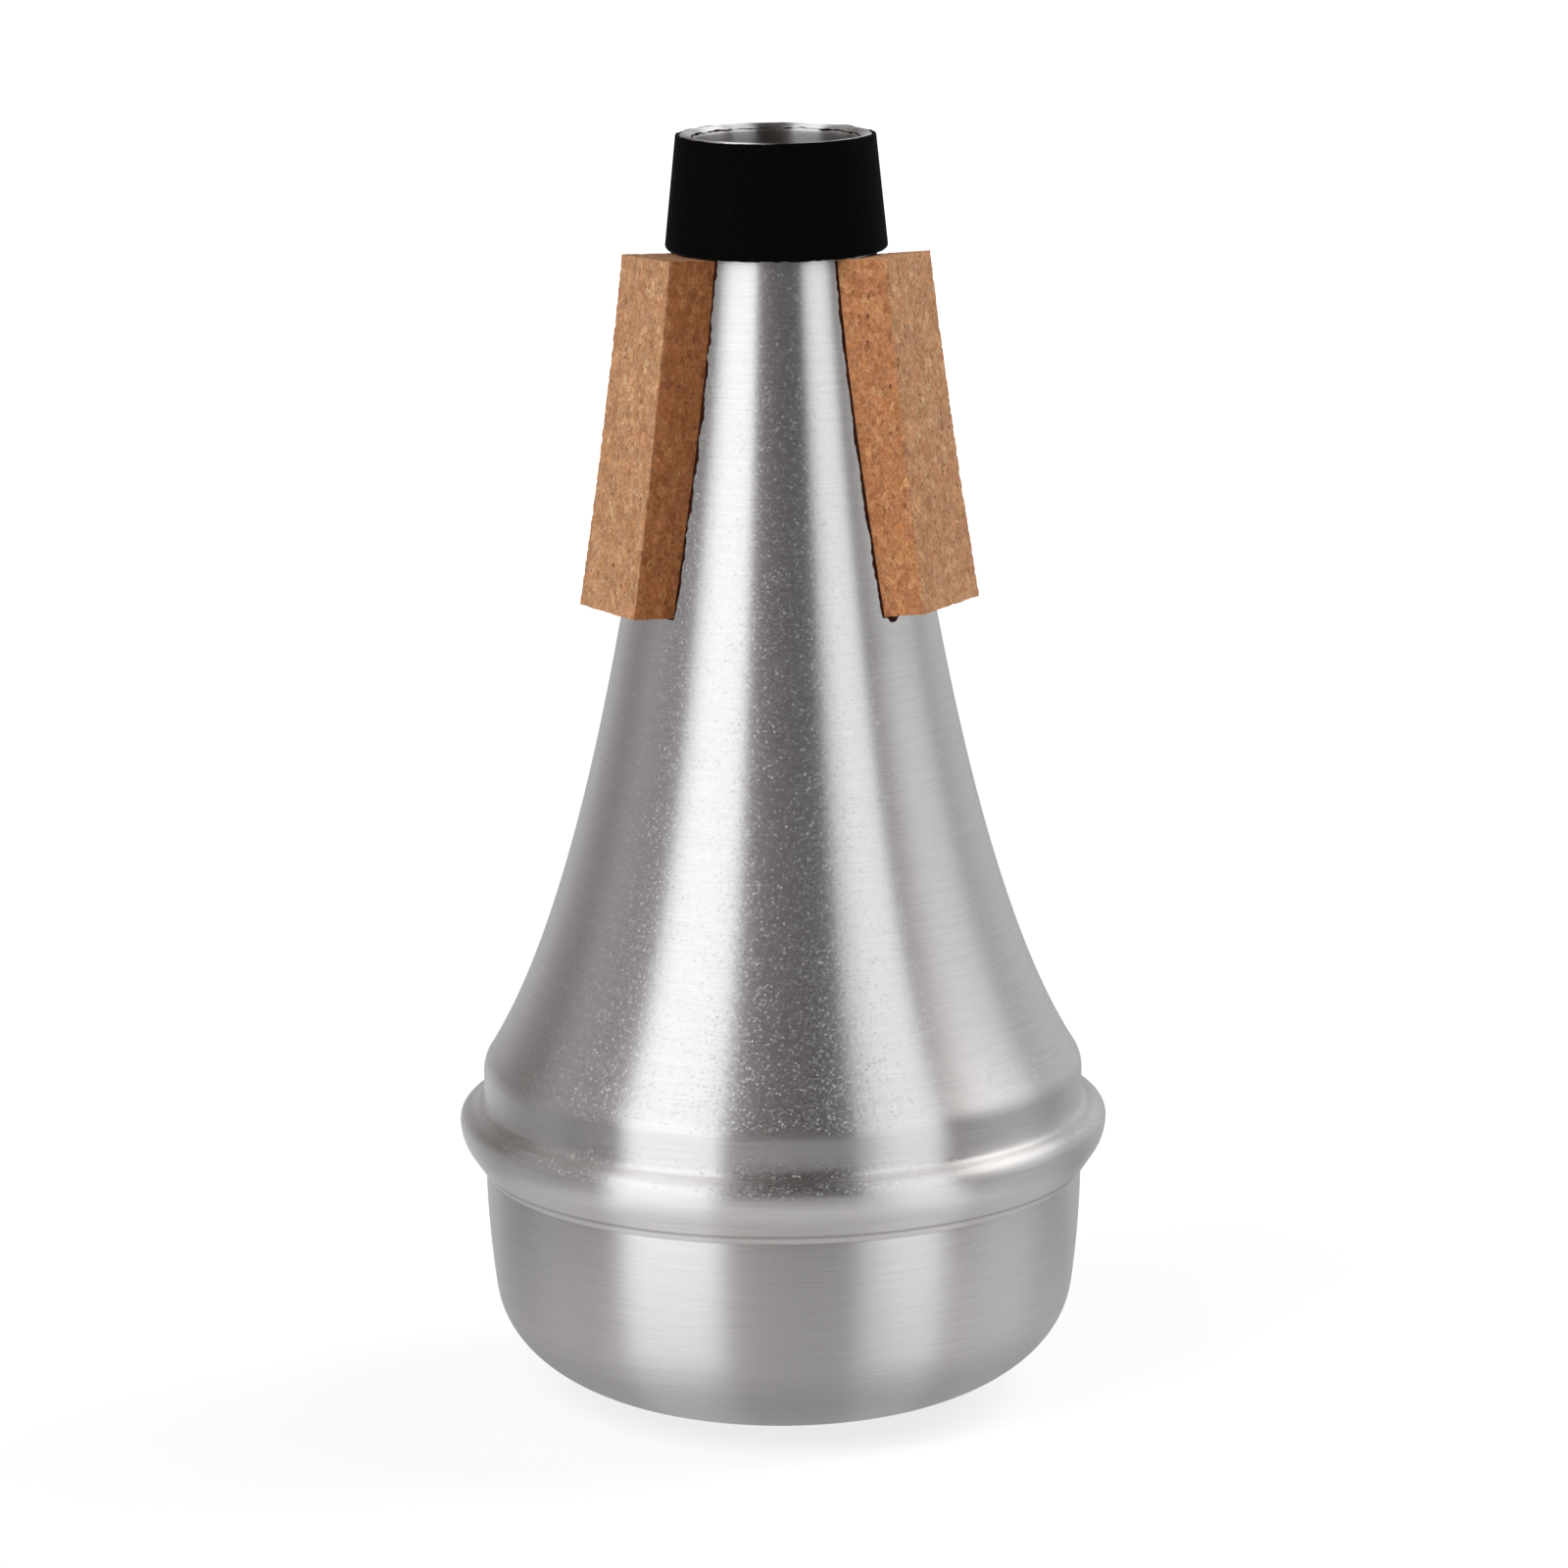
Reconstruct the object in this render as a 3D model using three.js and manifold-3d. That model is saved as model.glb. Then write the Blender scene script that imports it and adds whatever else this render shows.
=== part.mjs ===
// Straight mute for a trumpet
// A spun aluminium cone with a rolled lip, a shoulder and a bead, closed by a round aluminium
// cup, with a black rubber sleeve at the tip and three cork strips glued round the neck.
// Millimetres. +Z runs up the axis from the closed end to the open tip. The origin is the
// middle of the flat spot that the mute stands on. The viewer of the photograph stands at -Y,
// with +X to the right.

import * as THREE from 'three';
import { mergeVertices } from 'three/addons/utils/BufferGeometryUtils.js';
import Module from 'manifold-3d';

const wasm = await Module();
wasm.setup();

// Whole mute
const muteHeight = 165;
const sheet = 0.9;
const seatGap = 0.15;

// Mouth and lip of the cone: the sheet bends out through a quarter turn to a narrow flat
const boreRadius = 10.65;
const lipBend = 1.75;
const lipFlat = 0.3;

// Flare of the cone: two smooth curves from the neck to the foot that meet at the waist
// The waist lies at a share of the flare's growth and fall. The slopes are shares of the
// cone's mean slope, and the pulls are shares of the fall of the curve that they shape.
const waistGrowthShare = 0.3501;
const waistFallShare = 0.5358;
const neckSlopeShare = 0.3063;
const waistSlopeShare = 0.8313;
const footSlopeShare = 2.7565;
const neckPullShare = 0.3874;
const waistUpperPullShare = 0.2909;
const waistLowerPullShare = 0.4161;
const footPullShare = 0.2135;

// Wide end of the cone: from the seam up, a skirt, a bead, a straight wall and a shoulder
const seamHeight = 29.9;
const beadRadius = 42.2;
const skirtInset = 3.23;
const beadRise = 6.7;
const beadCrownBend = 1.8;
const filletBend = 1.2;
const beadReach = 3.17;
const shoulderWall = 3.42;
const shoulderBend = 4.1;

// Under side of the bead, as shares of the way in to the skirt's edge and of the fall to it
const beadUnderShares = [[0.037, 0.181], [0.147, 0.355], [0.326, 0.516], [1, 1]];

// Cup that closes the wide end
const standRadius = 13.52;
const cupDraft = 3.75;
const cupDraftPower = 1.8;
const cupCornerRise = 14.6;
const cupCornerPower = 2.2;
const cupWallInset = 0.1;
const seamGap = 0.35;
const cupStepRise = 0.5;
const rimBelowShoulder = 0.5;

// Rubber sleeve round the tip: its wall is thicker at its lower end
const guardLength = 13.75;
const guardTopWall = 1.05;
const guardBottomWall = 1.31;
const guardBottomLand = 0.21;

// Cork strips: a wedge that is thicker and narrower at its upper end
const corkPlaces = ['right', 'rear', 'left'];
const corkFirstAngle = -Math.PI / 6;
const corkBelowGuard = 0.3;
const corkLength = 44.3;
const corkTopWidth = 11.8;
const corkBottomWidth = 13.8;
const corkTopThickness = 6;
const corkBottomThickness = 4.9;
const corkTopRise = 0.5;
const corkBottomRise = 0.5;

// Glue under each cork strip
const glueFilm = 0.3;
const glueEdgeInset = 0.15;

// Fineness of the round shapes
const turns = 48;
const lipSteps = 3;
const neckSteps = 6;
const flareSteps = 9;
const bendSteps = 3;
const beadSteps = 4;
const cupCornerSteps = 9;
const cupWallSteps = 4;

const aluminium = { color: 0xc4c5c6, roughness: 0.35, metalness: 1 };
const rubber = { color: 0x0e0d0d, roughness: 0.7, metalness: 0 };
const cork = { color: 0xb98a5f, roughness: 0.9, metalness: 0 };
const glue = { color: 0x3a2418, roughness: 0.6, metalness: 0 };

const point = (radius, height) => new THREE.Vector2(radius, height);

// Points on an arc of a round bend, both ends included
function arcPoints(centre, bend, startAngle, endAngle, steps) {
  const points = [];
  for (let i = 0; i <= steps; i += 1) {
    const angle = THREE.MathUtils.lerp(startAngle, endAngle, i / steps);
    points.push(point(centre.x + bend * Math.cos(angle), centre.y + bend * Math.sin(angle)));
  }
  return points;
}

// The under side of the lip: from the lip's edge in to the neck
function lipLine() {
  const centre = point(boreRadius + lipBend, muteHeight - lipBend);
  const edge = point(centre.x + lipFlat, muteHeight - sheet);
  return [edge, ...arcPoints(centre, lipBend - sheet, Math.PI / 2, Math.PI, lipSteps)];
}

// Round the bead: a fillet leads from the straight wall out into the crown of the bead
const beadHeight = seamHeight + beadRise;
const skirtRadius = beadRadius - skirtInset;
const shoulderRadius = beadRadius - beadReach;
const crownCentre = point(beadRadius - beadCrownBend, beadHeight);
const filletRun = shoulderRadius + filletBend - crownCentre.x;
const filletRise = Math.sqrt((filletBend + beadCrownBend) ** 2 - filletRun ** 2);
const filletCentre = point(shoulderRadius + filletBend, beadHeight + filletRise);
const wallTopHeight = filletCentre.y + shoulderWall;

// The flare leaves the neck at the lip and ends where the shoulder begins to turn down
const neck = point(boreRadius + sheet, muteHeight - lipBend);
const meanSlope = (shoulderRadius - neck.x) / (neck.y - wallTopHeight);
const footAngle = Math.atan(footSlopeShare * meanSlope);
const shoulderCentre = point(shoulderRadius - shoulderBend, wallTopHeight);

function beadTopLine() {
  const meetAngle = Math.atan2(filletRise, filletRun);
  const fillet = arcPoints(filletCentre, filletBend, Math.PI, Math.PI + meetAngle, bendSteps);
  const crown = arcPoints(crownCentre, beadCrownBend, meetAngle, 0, beadSteps);
  return [...fillet, ...crown.slice(1)];
}

// The under side of the bead turns in and runs straight to the edge of the skirt
function skirtLine() {
  return beadUnderShares.map(([inShare, fallShare]) => point(
    beadRadius - skirtInset * inShare,
    beadHeight - beadRise * fallShare,
  ));
}

// One curve of the flare, from its upper end to its lower end
function flareCurve(top, topSlope, topPullShare, bottom, bottomSlope, bottomPullShare, steps) {
  const fall = top.y - bottom.y;
  const topPull = topPullShare * fall;
  const bottomPull = bottomPullShare * fall;
  const curve = new THREE.CubicBezierCurve(
    top,
    point(top.x + topSlope * meanSlope * topPull, top.y - topPull),
    point(bottom.x - bottomSlope * meanSlope * bottomPull, bottom.y + bottomPull),
    bottom,
  );
  return curve.getPoints(steps);
}

// The whole outside of the cone, from the lip's edge down to the skirt's edge
function shellLine() {
  const shoulder = arcPoints(shoulderCentre, shoulderBend, footAngle, 0, bendSteps);
  const foot = shoulder[0];
  const waist = point(
    THREE.MathUtils.lerp(neck.x, foot.x, waistGrowthShare),
    THREE.MathUtils.lerp(neck.y, foot.y, waistFallShare),
  );
  const upper = flareCurve(
    neck, neckSlopeShare, neckPullShare, waist, waistSlopeShare, waistUpperPullShare, neckSteps,
  );
  const lower = flareCurve(
    waist, waistSlopeShare, waistLowerPullShare, foot, footSlopeShare, footPullShare, flareSteps,
  );
  return [
    ...lipLine(), ...upper.slice(1), ...lower.slice(1), ...shoulder.slice(1),
    ...beadTopLine(), ...skirtLine(),
  ];
}

// A line moved sideways: a positive distance moves a falling line away from the axis
function offsetLine(line, distance) {
  return line.map((here, i) => {
    const before = line[Math.max(i - 1, 0)];
    const after = line[Math.min(i + 1, line.length - 1)];
    const run = after.x - before.x;
    const rise = after.y - before.y;
    const length = Math.hypot(run, rise);
    return point(here.x - distance * rise / length, here.y + distance * run / length);
  });
}

// The radius of a falling line at a height
function radiusAt(line, height) {
  const next = line.findIndex((here) => here.y <= height);
  const above = line[next - 1];
  const below = line[next];
  const share = (above.y - height) / (above.y - below.y);
  return THREE.MathUtils.lerp(above.x, below.x, share);
}

// A turned body about the Z axis, from an outline that runs up its outside
function turned(outline) {
  const geometry = new THREE.LatheGeometry([...outline, outline[0]], turns);
  geometry.rotateX(Math.PI / 2);
  return geometry;
}

// A closed mesh with shared corners, as a solid that can be cut
function toSolid(geometry) {
  const bare = geometry.clone();
  bare.deleteAttribute('normal');
  bare.deleteAttribute('uv');
  const merged = mergeVertices(bare);
  const vertProperties = new Float32Array(merged.attributes.position.array);
  const triVerts = new Uint32Array(merged.index.array);
  return new wasm.Manifold(new wasm.Mesh({ numProp: 3, vertProperties, triVerts }));
}

function toGeometry(solid) {
  const mesh = solid.getMesh();
  const geometry = new THREE.BufferGeometry();
  geometry.setAttribute('position', new THREE.BufferAttribute(mesh.vertProperties, 3));
  geometry.setIndex(new THREE.BufferAttribute(mesh.triVerts, 1));
  geometry.computeVertexNormals();
  return geometry;
}

const outside = shellLine();
const inside = offsetLine(outside, -sheet);

// Cone: one spun sheet from the lip down to the skirt
function coneShell() {
  return turned([...outside.slice().reverse(), ...inside]);
}

// The outside of the cup below the seam, from the flat spot up to the seam
function cupWallRadius(height) {
  const depthShare = (seamHeight - height) / seamHeight;
  return skirtRadius - cupWallInset - cupDraft * depthShare ** cupDraftPower;
}

function cupOutsideLine() {
  const line = [];
  const power = 2 / cupCornerPower;
  const cornerRun = cupWallRadius(0) - standRadius;
  for (let i = 0; i <= cupCornerSteps; i += 1) {
    const angle = Math.PI / 2 * i / cupCornerSteps;
    const height = cupCornerRise * (1 - Math.cos(angle) ** power);
    const inward = cornerRun * (1 - Math.sin(angle) ** power);
    line.push(point(cupWallRadius(height) - inward, height));
  }
  const top = seamHeight - seamGap;
  for (let i = 1; i <= cupWallSteps; i += 1) {
    const height = THREE.MathUtils.lerp(cupCornerRise, top, i / cupWallSteps);
    line.push(point(cupWallRadius(height), height));
  }
  return line;
}

// Cup: a spun bowl whose rim steps in, passes the skirt's edge and slides up inside the wall
function endCup() {
  const wall = cupOutsideLine();
  const skirtMouth = inside[inside.length - 1].x;
  const rimRadius = Math.min(skirtMouth, shoulderRadius - sheet) - seatGap;
  const rimTop = wallTopHeight - rimBelowShoulder;
  const wallTop = wall[wall.length - 1];
  const rimFoot = wallTop.y + cupStepRise;
  const bowl = offsetLine(wall, sheet).filter((here) => here.y < wallTop.y - sheet);
  const innerFloor = point(0, sheet);
  return turned([
    point(0, 0),
    ...wall,
    point(rimRadius, rimFoot),
    point(rimRadius, rimTop),
    point(rimRadius - sheet, rimTop),
    point(rimRadius - sheet, rimFoot),
    ...bowl.reverse(),
    innerFloor,
  ]);
}

// Rubber sleeve: it grips the neck and sits under the lip
const guardTopHeight = muteHeight - sheet - seatGap;
const guardBottomHeight = guardTopHeight - guardLength;

function tipGuard() {
  const grip = offsetLine(outside, seatGap);
  const inner = grip.filter((here) => here.y < guardTopHeight && here.y > guardBottomHeight);
  const bottomBore = radiusAt(grip, guardBottomHeight);
  const bend = guardBottomWall - guardBottomLand;
  const corner = point(bottomBore + guardBottomLand, guardBottomHeight + bend);
  return turned([
    point(bottomBore, guardBottomHeight),
    ...arcPoints(corner, bend, -Math.PI / 2, 0, bendSteps),
    point(neck.x + seatGap + guardTopWall, guardTopHeight),
    point(inner[0].x, guardTopHeight),
    ...inner.slice(1),
  ]);
}

// A wedge beside the axis, out along +X. Each end gives its inner and outer radius, the
// heights of these two edges, and its width.
function wedge(lower, upper) {
  const geometry = new THREE.BoxGeometry(1, 1, 1);
  const places = geometry.attributes.position;
  for (let i = 0; i < places.count; i += 1) {
    const end = places.getZ(i) > 0 ? upper : lower;
    const outward = places.getX(i) > 0;
    const radius = outward ? end.outer : end.inner;
    const height = outward ? end.outerHeight : end.innerHeight;
    places.setXYZ(i, radius, end.width * places.getY(i), height);
  }
  return geometry;
}

const corkTopHeight = guardBottomHeight - corkBelowGuard;
const corkBottomHeight = corkTopHeight - corkLength;
const corkStandOff = seatGap + glueFilm + seatGap;
const corkBack = {
  top: radiusAt(outside, corkTopHeight) + corkStandOff,
  bottom: radiusAt(outside, corkBottomHeight) + corkStandOff,
};

// Cork strip: flat faces all round, leaning out with the cone
function corkStrip() {
  return wedge(
    {
      inner: corkBack.bottom,
      outer: corkBack.bottom + corkBottomThickness,
      innerHeight: corkBottomHeight,
      outerHeight: corkBottomHeight + corkBottomRise,
      width: corkBottomWidth,
    },
    {
      inner: corkBack.top,
      outer: corkBack.top + corkTopThickness,
      innerHeight: corkTopHeight,
      outerHeight: corkTopHeight + corkTopRise,
      width: corkTopWidth,
    },
  );
}

// Glue bed: fills the wedge-shaped space between the round cone and the flat cork
function glueBed() {
  const slab = wedge(
    {
      inner: 0,
      outer: corkBack.bottom - seatGap,
      innerHeight: corkBottomHeight,
      outerHeight: corkBottomHeight,
      width: corkBottomWidth - glueEdgeInset * 2,
    },
    {
      inner: 0,
      outer: corkBack.top - seatGap,
      innerHeight: corkTopHeight,
      outerHeight: corkTopHeight,
      width: corkTopWidth - glueEdgeInset * 2,
    },
  );
  const clear = offsetLine(outside, seatGap).reverse();
  const first = clear[0];
  const last = clear[clear.length - 1];
  const body = turned([point(0, first.y), ...clear, point(0, last.y)]);
  return toGeometry(toSolid(slab).subtract(toSolid(body)));
}

const part = new THREE.Group();

function addPiece(name, geometry, finish, parent = part) {
  const mesh = new THREE.Mesh(geometry, new THREE.MeshStandardMaterial(finish));
  mesh.name = name;
  parent.add(mesh);
}

addPiece('cone_shell', coneShell(), aluminium);
addPiece('end_cup', endCup(), aluminium);
addPiece('tip_guard', tipGuard(), rubber);

// The strips stand evenly round the neck: two towards the viewer, one behind
corkPlaces.forEach((place, i) => {
  const seat = new THREE.Group();
  seat.rotation.z = corkFirstAngle + 2 * Math.PI * i / corkPlaces.length;
  addPiece(`cork_${place}`, corkStrip(), cork, seat);
  addPiece(`cork_glue_${place}`, glueBed(), glue, seat);
  part.add(seat);
});

export default part;
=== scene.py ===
# %% [markdown]
# A straight mute for a trumpet
#
# The mute is a cone of spun aluminium closed by a round aluminium cup. A black rubber sleeve
# guards its open tip, and three cork strips hold it in the bell. This lesson dresses the plain
# solids of the CAD model in the same frame. Every piece that the solids only rough out gets a
# finer mesh with the same outline, and a material that is made from nodes.

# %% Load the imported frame
import bisect
import math

import bmesh
import bpy
from mathutils import Matrix, Vector, noise


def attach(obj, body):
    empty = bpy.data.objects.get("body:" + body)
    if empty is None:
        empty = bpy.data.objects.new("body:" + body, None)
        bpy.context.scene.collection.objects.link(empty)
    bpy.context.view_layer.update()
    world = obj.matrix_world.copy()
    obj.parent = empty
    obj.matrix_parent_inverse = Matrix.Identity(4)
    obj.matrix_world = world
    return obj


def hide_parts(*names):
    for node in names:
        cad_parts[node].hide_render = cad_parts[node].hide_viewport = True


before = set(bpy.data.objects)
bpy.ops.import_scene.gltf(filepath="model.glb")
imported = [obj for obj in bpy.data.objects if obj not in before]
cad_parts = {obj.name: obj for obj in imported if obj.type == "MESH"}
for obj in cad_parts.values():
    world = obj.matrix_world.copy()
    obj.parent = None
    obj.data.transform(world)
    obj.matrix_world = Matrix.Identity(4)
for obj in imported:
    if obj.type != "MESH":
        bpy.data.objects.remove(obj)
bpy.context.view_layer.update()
MM = 0.001
print("nodes:", ", ".join(sorted(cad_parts)))

# %% [markdown]
# The camera
#
# The photograph was taken from a little above with a long lens. The camera could be placed by
# eye, but a fit to the outlines of the mute gives its pitch, distance and lens, and then every
# edge can be compared with the photograph. The picture is turned a little too, so the camera
# rolls about its own axis.

# %% Camera
SENSOR = 36.0
LENS = 146.9
CAMERA_TARGET = Vector((0.442, 0.0, 80.515)) * MM
CAMERA_DISTANCE = 828.9 * MM
CAMERA_PITCH = math.radians(12.2235)
CAMERA_ROLL = math.radians(-0.432)

backwards = Vector((0.0, -math.cos(CAMERA_PITCH), math.sin(CAMERA_PITCH)))
camera_data = bpy.data.cameras.new("camera")
camera_data.sensor_width = SENSOR
camera_data.lens = LENS
camera = bpy.data.objects.new("camera", camera_data)
camera.matrix_world = (
    Matrix.Translation(CAMERA_TARGET + backwards * CAMERA_DISTANCE)
    @ Matrix.Rotation(math.pi / 2 - CAMERA_PITCH, 4, "X")
    @ Matrix.Rotation(CAMERA_ROLL, 4, "Z")
)
bpy.context.collection.objects.link(camera)
bpy.context.scene.camera = camera
print("camera, mm:", [round(v / MM, 1) for v in camera.location])

# %% [markdown]
# Outlines of the turned pieces
#
# The cone, the cup and the sleeve are turned shapes, so each needs only its outline in radius
# and height. The outlines could be drawn point by point, but arcs and curves with the sizes of
# the real bends are easier to check. All sizes here are millimetres, and become metres when
# the outline is spun.

# %% Sizes shared by the turned pieces
MUTE_HEIGHT = 165.0
SHEET = 0.9
BORE_RADIUS = 10.65
LIP_BEND = 1.25
LIP_RADIUS = BORE_RADIUS + LIP_BEND + SHEET / 2
NECK = (BORE_RADIUS + SHEET, 163.25)
WAIST = (20.95, 100.0)
FOOT = (38.4, 45.2)
SEAM_HEIGHT = 29.9
SKIRT_RADIUS = 38.97
SHOULDER_RADIUS = 39.03
SHEET_EDGE_STEPS = 6


def arc(centre, radius, start, end, steps):
    """Points on an arc, with its angles in degrees from the outward direction."""
    points = []
    for i in range(steps + 1):
        angle = math.radians(start + (end - start) * i / steps)
        points.append((centre[0] + radius * math.cos(angle), centre[1] + radius * math.sin(angle)))
    return points


def flare_curve(top, top_slope, top_pull, bottom, bottom_slope, bottom_pull, steps):
    """One smooth curve of the flare, from its upper end to its lower end."""
    handles = (
        top,
        (top[0] + top_slope * top_pull, top[1] - top_pull),
        (bottom[0] - bottom_slope * bottom_pull, bottom[1] + bottom_pull),
        bottom,
    )
    points = []
    for i in range(steps + 1):
        t = i / steps
        weights = ((1 - t) ** 3, 3 * t * (1 - t) ** 2, 3 * t * t * (1 - t), t**3)
        points.append(tuple(sum(w * h[k] for w, h in zip(weights, handles)) for k in (0, 1)))
    return points


def offset(line, distance):
    """The line moved sideways, away from the axis where it falls and the distance is positive."""
    moved = []
    for i, (radius, height) in enumerate(line):
        before = line[max(i - 1, 0)]
        after = line[min(i + 1, len(line) - 1)]
        run, rise = after[0] - before[0], after[1] - before[1]
        length = math.hypot(run, rise)
        moved.append((radius - distance * rise / length, height + distance * run / length))
    return moved


def sheet_edge(start, end):
    """A round edge from one side of the sheet to the other, turning clockwise."""
    centre = ((start[0] + end[0]) / 2, (start[1] + end[1]) / 2)
    radius = math.dist(start, end) / 2
    first = math.degrees(math.atan2(start[1] - centre[1], start[0] - centre[0]))
    return arc(centre, radius, first, first - 180, SHEET_EDGE_STEPS)[1:-1]


print("the neck is", 2 * NECK[0], "mm across, the foot of the flare", 2 * FOOT[0])

# %% [markdown]
# The outline of the cone
#
# On the real mute one disc of aluminium was spun over a former: the lip rolls outwards, the
# flare runs down to a shoulder, and a bead stiffens the wide end. Two curves that meet at the
# waist follow the flare, and arcs follow the bends. A fine groove just above the skirt's edge
# is where the roller turned the edge over the cup.

# %% Outline of the cone
LIP_CENTRE = (BORE_RADIUS + LIP_BEND, MUTE_HEIGHT - LIP_BEND)
NECK_SLOPE, WAIST_SLOPE, FOOT_SLOPE = 0.07, 0.19, 0.63
NECK_PULL, WAIST_PULL_UP, WAIST_PULL_DOWN, FOOT_PULL = 24.5, 18.4, 22.8, 11.7
SHOULDER_BEND = 4.1
BEAD_RADIUS, BEAD_HEIGHT = 42.2, 36.6
CROWN_BEND, FILLET_BEND, UNDER_BEND = 1.8, 0.9, 6.2
GROOVE_ABOVE_EDGE, GROOVE_HALF_WIDTH, GROOVE_DEPTH = 1.2, 0.42, 0.1
# where the straight parts are cut, as shares of their length
WALL_CUTS, FLANK_CUTS, EDGE_CUT = (0.33, 0.67), (0.25, 0.5), 0.96
# how many straight steps stand for each bend
STEPS = {"lip": 9, "upper": 40, "lower": 50, "shoulder": 10, "fillet": 8, "crown": 14, "under": 12}

foot_angle = math.degrees(math.atan(FOOT_SLOPE))
shoulder_centre = (
    SHOULDER_RADIUS - SHOULDER_BEND,
    FOOT[1] - SHOULDER_BEND * math.sin(math.radians(foot_angle)),
)
crown_centre = (BEAD_RADIUS - CROWN_BEND, BEAD_HEIGHT)
fillet_run = SHOULDER_RADIUS + FILLET_BEND - crown_centre[0]
fillet_rise = math.sqrt((FILLET_BEND + CROWN_BEND) ** 2 - fillet_run**2)
fillet_centre = (SHOULDER_RADIUS + FILLET_BEND, BEAD_HEIGHT + fillet_rise)
meet_angle = math.degrees(math.atan2(fillet_rise, fillet_run))
under_centre = (BEAD_RADIUS - UNDER_BEND, BEAD_HEIGHT)
edge_run, edge_fall = SKIRT_RADIUS - under_centre[0], BEAD_HEIGHT - SEAM_HEIGHT
leave_angle = math.degrees(
    math.atan2(edge_fall, edge_run) - math.acos(UNDER_BEND / math.hypot(edge_run, edge_fall))
)


def between(start, end, shares):
    """Points on a straight line at the given shares of its length."""
    run, rise = end[0] - start[0], end[1] - start[1]
    return [(start[0] + run * share, start[1] + rise * share) for share in shares]


lip_under = arc(LIP_CENTRE, LIP_BEND - SHEET, 90, 180, STEPS["lip"])
upper_flare = flare_curve(
    NECK, NECK_SLOPE, NECK_PULL, WAIST, WAIST_SLOPE, WAIST_PULL_UP, STEPS["upper"]
)
lower_flare = flare_curve(
    WAIST, WAIST_SLOPE, WAIST_PULL_DOWN, FOOT, FOOT_SLOPE, FOOT_PULL, STEPS["lower"]
)
shoulder = arc(shoulder_centre, SHOULDER_BEND, foot_angle, 0, STEPS["shoulder"])
fillet = arc(fillet_centre, FILLET_BEND, 180, 180 + meet_angle, STEPS["fillet"])
crown = arc(crown_centre, CROWN_BEND, meet_angle, 0, STEPS["crown"])
under_bead = arc(under_centre, UNDER_BEND, 0, -leave_angle, STEPS["under"])
skirt_edge = (SKIRT_RADIUS, SEAM_HEIGHT)
flank_length = math.dist(under_bead[-1], skirt_edge)
groove_share = 1 - GROOVE_ABOVE_EDGE / flank_length
groove_half_share = GROOVE_HALF_WIDTH / flank_length
groove_start, groove_end = groove_share - groove_half_share, groove_share + groove_half_share
flank = between(under_bead[-1], skirt_edge, (*FLANK_CUTS, groove_start))
groove_floor = offset(
    [flank[-1], *between(under_bead[-1], skirt_edge, (groove_share, groove_end))], -GROOVE_DEPTH
)[1]
after_groove = between(under_bead[-1], skirt_edge, (groove_end, EDGE_CUT, 1.0))
straight_wall = between(shoulder[-1], fillet[0], WALL_CUTS)

cone_outside = [
    *lip_under, *upper_flare, *lower_flare[1:], *shoulder[1:], *straight_wall, *fillet,
    *crown[1:], *under_bead[1:], *flank, groove_floor, *after_groove,
]
plain_line = [p for p in cone_outside if p is not groove_floor]
cone_inside = offset(plain_line, -SHEET)
lower_edge = sheet_edge(cone_outside[-1], cone_inside[-1])
upper_edge = sheet_edge(cone_inside[0], cone_outside[0])
cone_outline = [*cone_outside, *lower_edge, *reversed(cone_inside), *upper_edge]
highest = max(height for _, height in cone_outline)
print("cone outline:", len(cone_outline), "points, the highest at", round(highest, 3), "mm")

# %% [markdown]
# Spinning an outline into a piece
#
# A screw modifier could turn the outline, but the spin operator makes the mesh at once, and
# its full turn is merged so that no seam stays open. Each point also keeps how far along the
# outline it lies. The brush lines of the metal follow that length, so they stay evenly fine on
# flat, steep and round parts alike.

# %% Spin
TURN_STEPS = 144
MERGE_DISTANCE = 0.0005 * MM


def spun_piece(name, outline, marks=None, closed=True):
    """A mesh object turned about the Z axis from an outline in millimetres."""
    mesh_data = bmesh.new()
    along = mesh_data.verts.layers.float.new("along")
    layers = [mesh_data.verts.layers.float.new(layer) for layer in ("grit", "painted_shade", "polish")]
    ring, travelled = [], 0.0
    for i, (radius, height) in enumerate(outline):
        if i:
            travelled += math.dist(outline[i - 1], outline[i])
        vert = mesh_data.verts.new((radius * MM, 0.0, height * MM))
        vert[along] = travelled * MM
        for layer, mark in zip(layers, marks[i] if marks else ()):
            vert[layer] = mark
        ring.append(vert)
    edges = [mesh_data.edges.new(pair) for pair in zip(ring, ring[1:])]
    if closed:
        edges.append(mesh_data.edges.new((ring[-1], ring[0])))
    bmesh.ops.spin(
        mesh_data, geom=ring + edges, cent=(0, 0, 0), axis=(0, 0, 1), dvec=(0, 0, 0),
        angle=math.tau, steps=TURN_STEPS,
        use_merge=True, use_normal_flip=False, use_duplicate=False,
    )
    bmesh.ops.remove_doubles(mesh_data, verts=mesh_data.verts[:], dist=MERGE_DISTANCE)
    return finished(name, mesh_data)


def finished(name, mesh_data):
    """Turns a bmesh into a linked object with outward faces and says how big it is."""
    mesh_data.normal_update()
    bmesh.ops.recalc_face_normals(mesh_data, faces=mesh_data.faces[:])
    for face in mesh_data.faces:
        face.smooth = True
    mesh = bpy.data.meshes.new(name)
    mesh_data.to_mesh(mesh)
    volume = mesh_data.calc_volume(signed=True) / MM**3 / 1000
    mesh_data.free()
    piece = bpy.data.objects.new(name, mesh)
    bpy.context.collection.objects.link(piece)
    print(name, len(mesh.polygons), "faces,", round(volume, 2), "cm3")
    return piece
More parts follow.
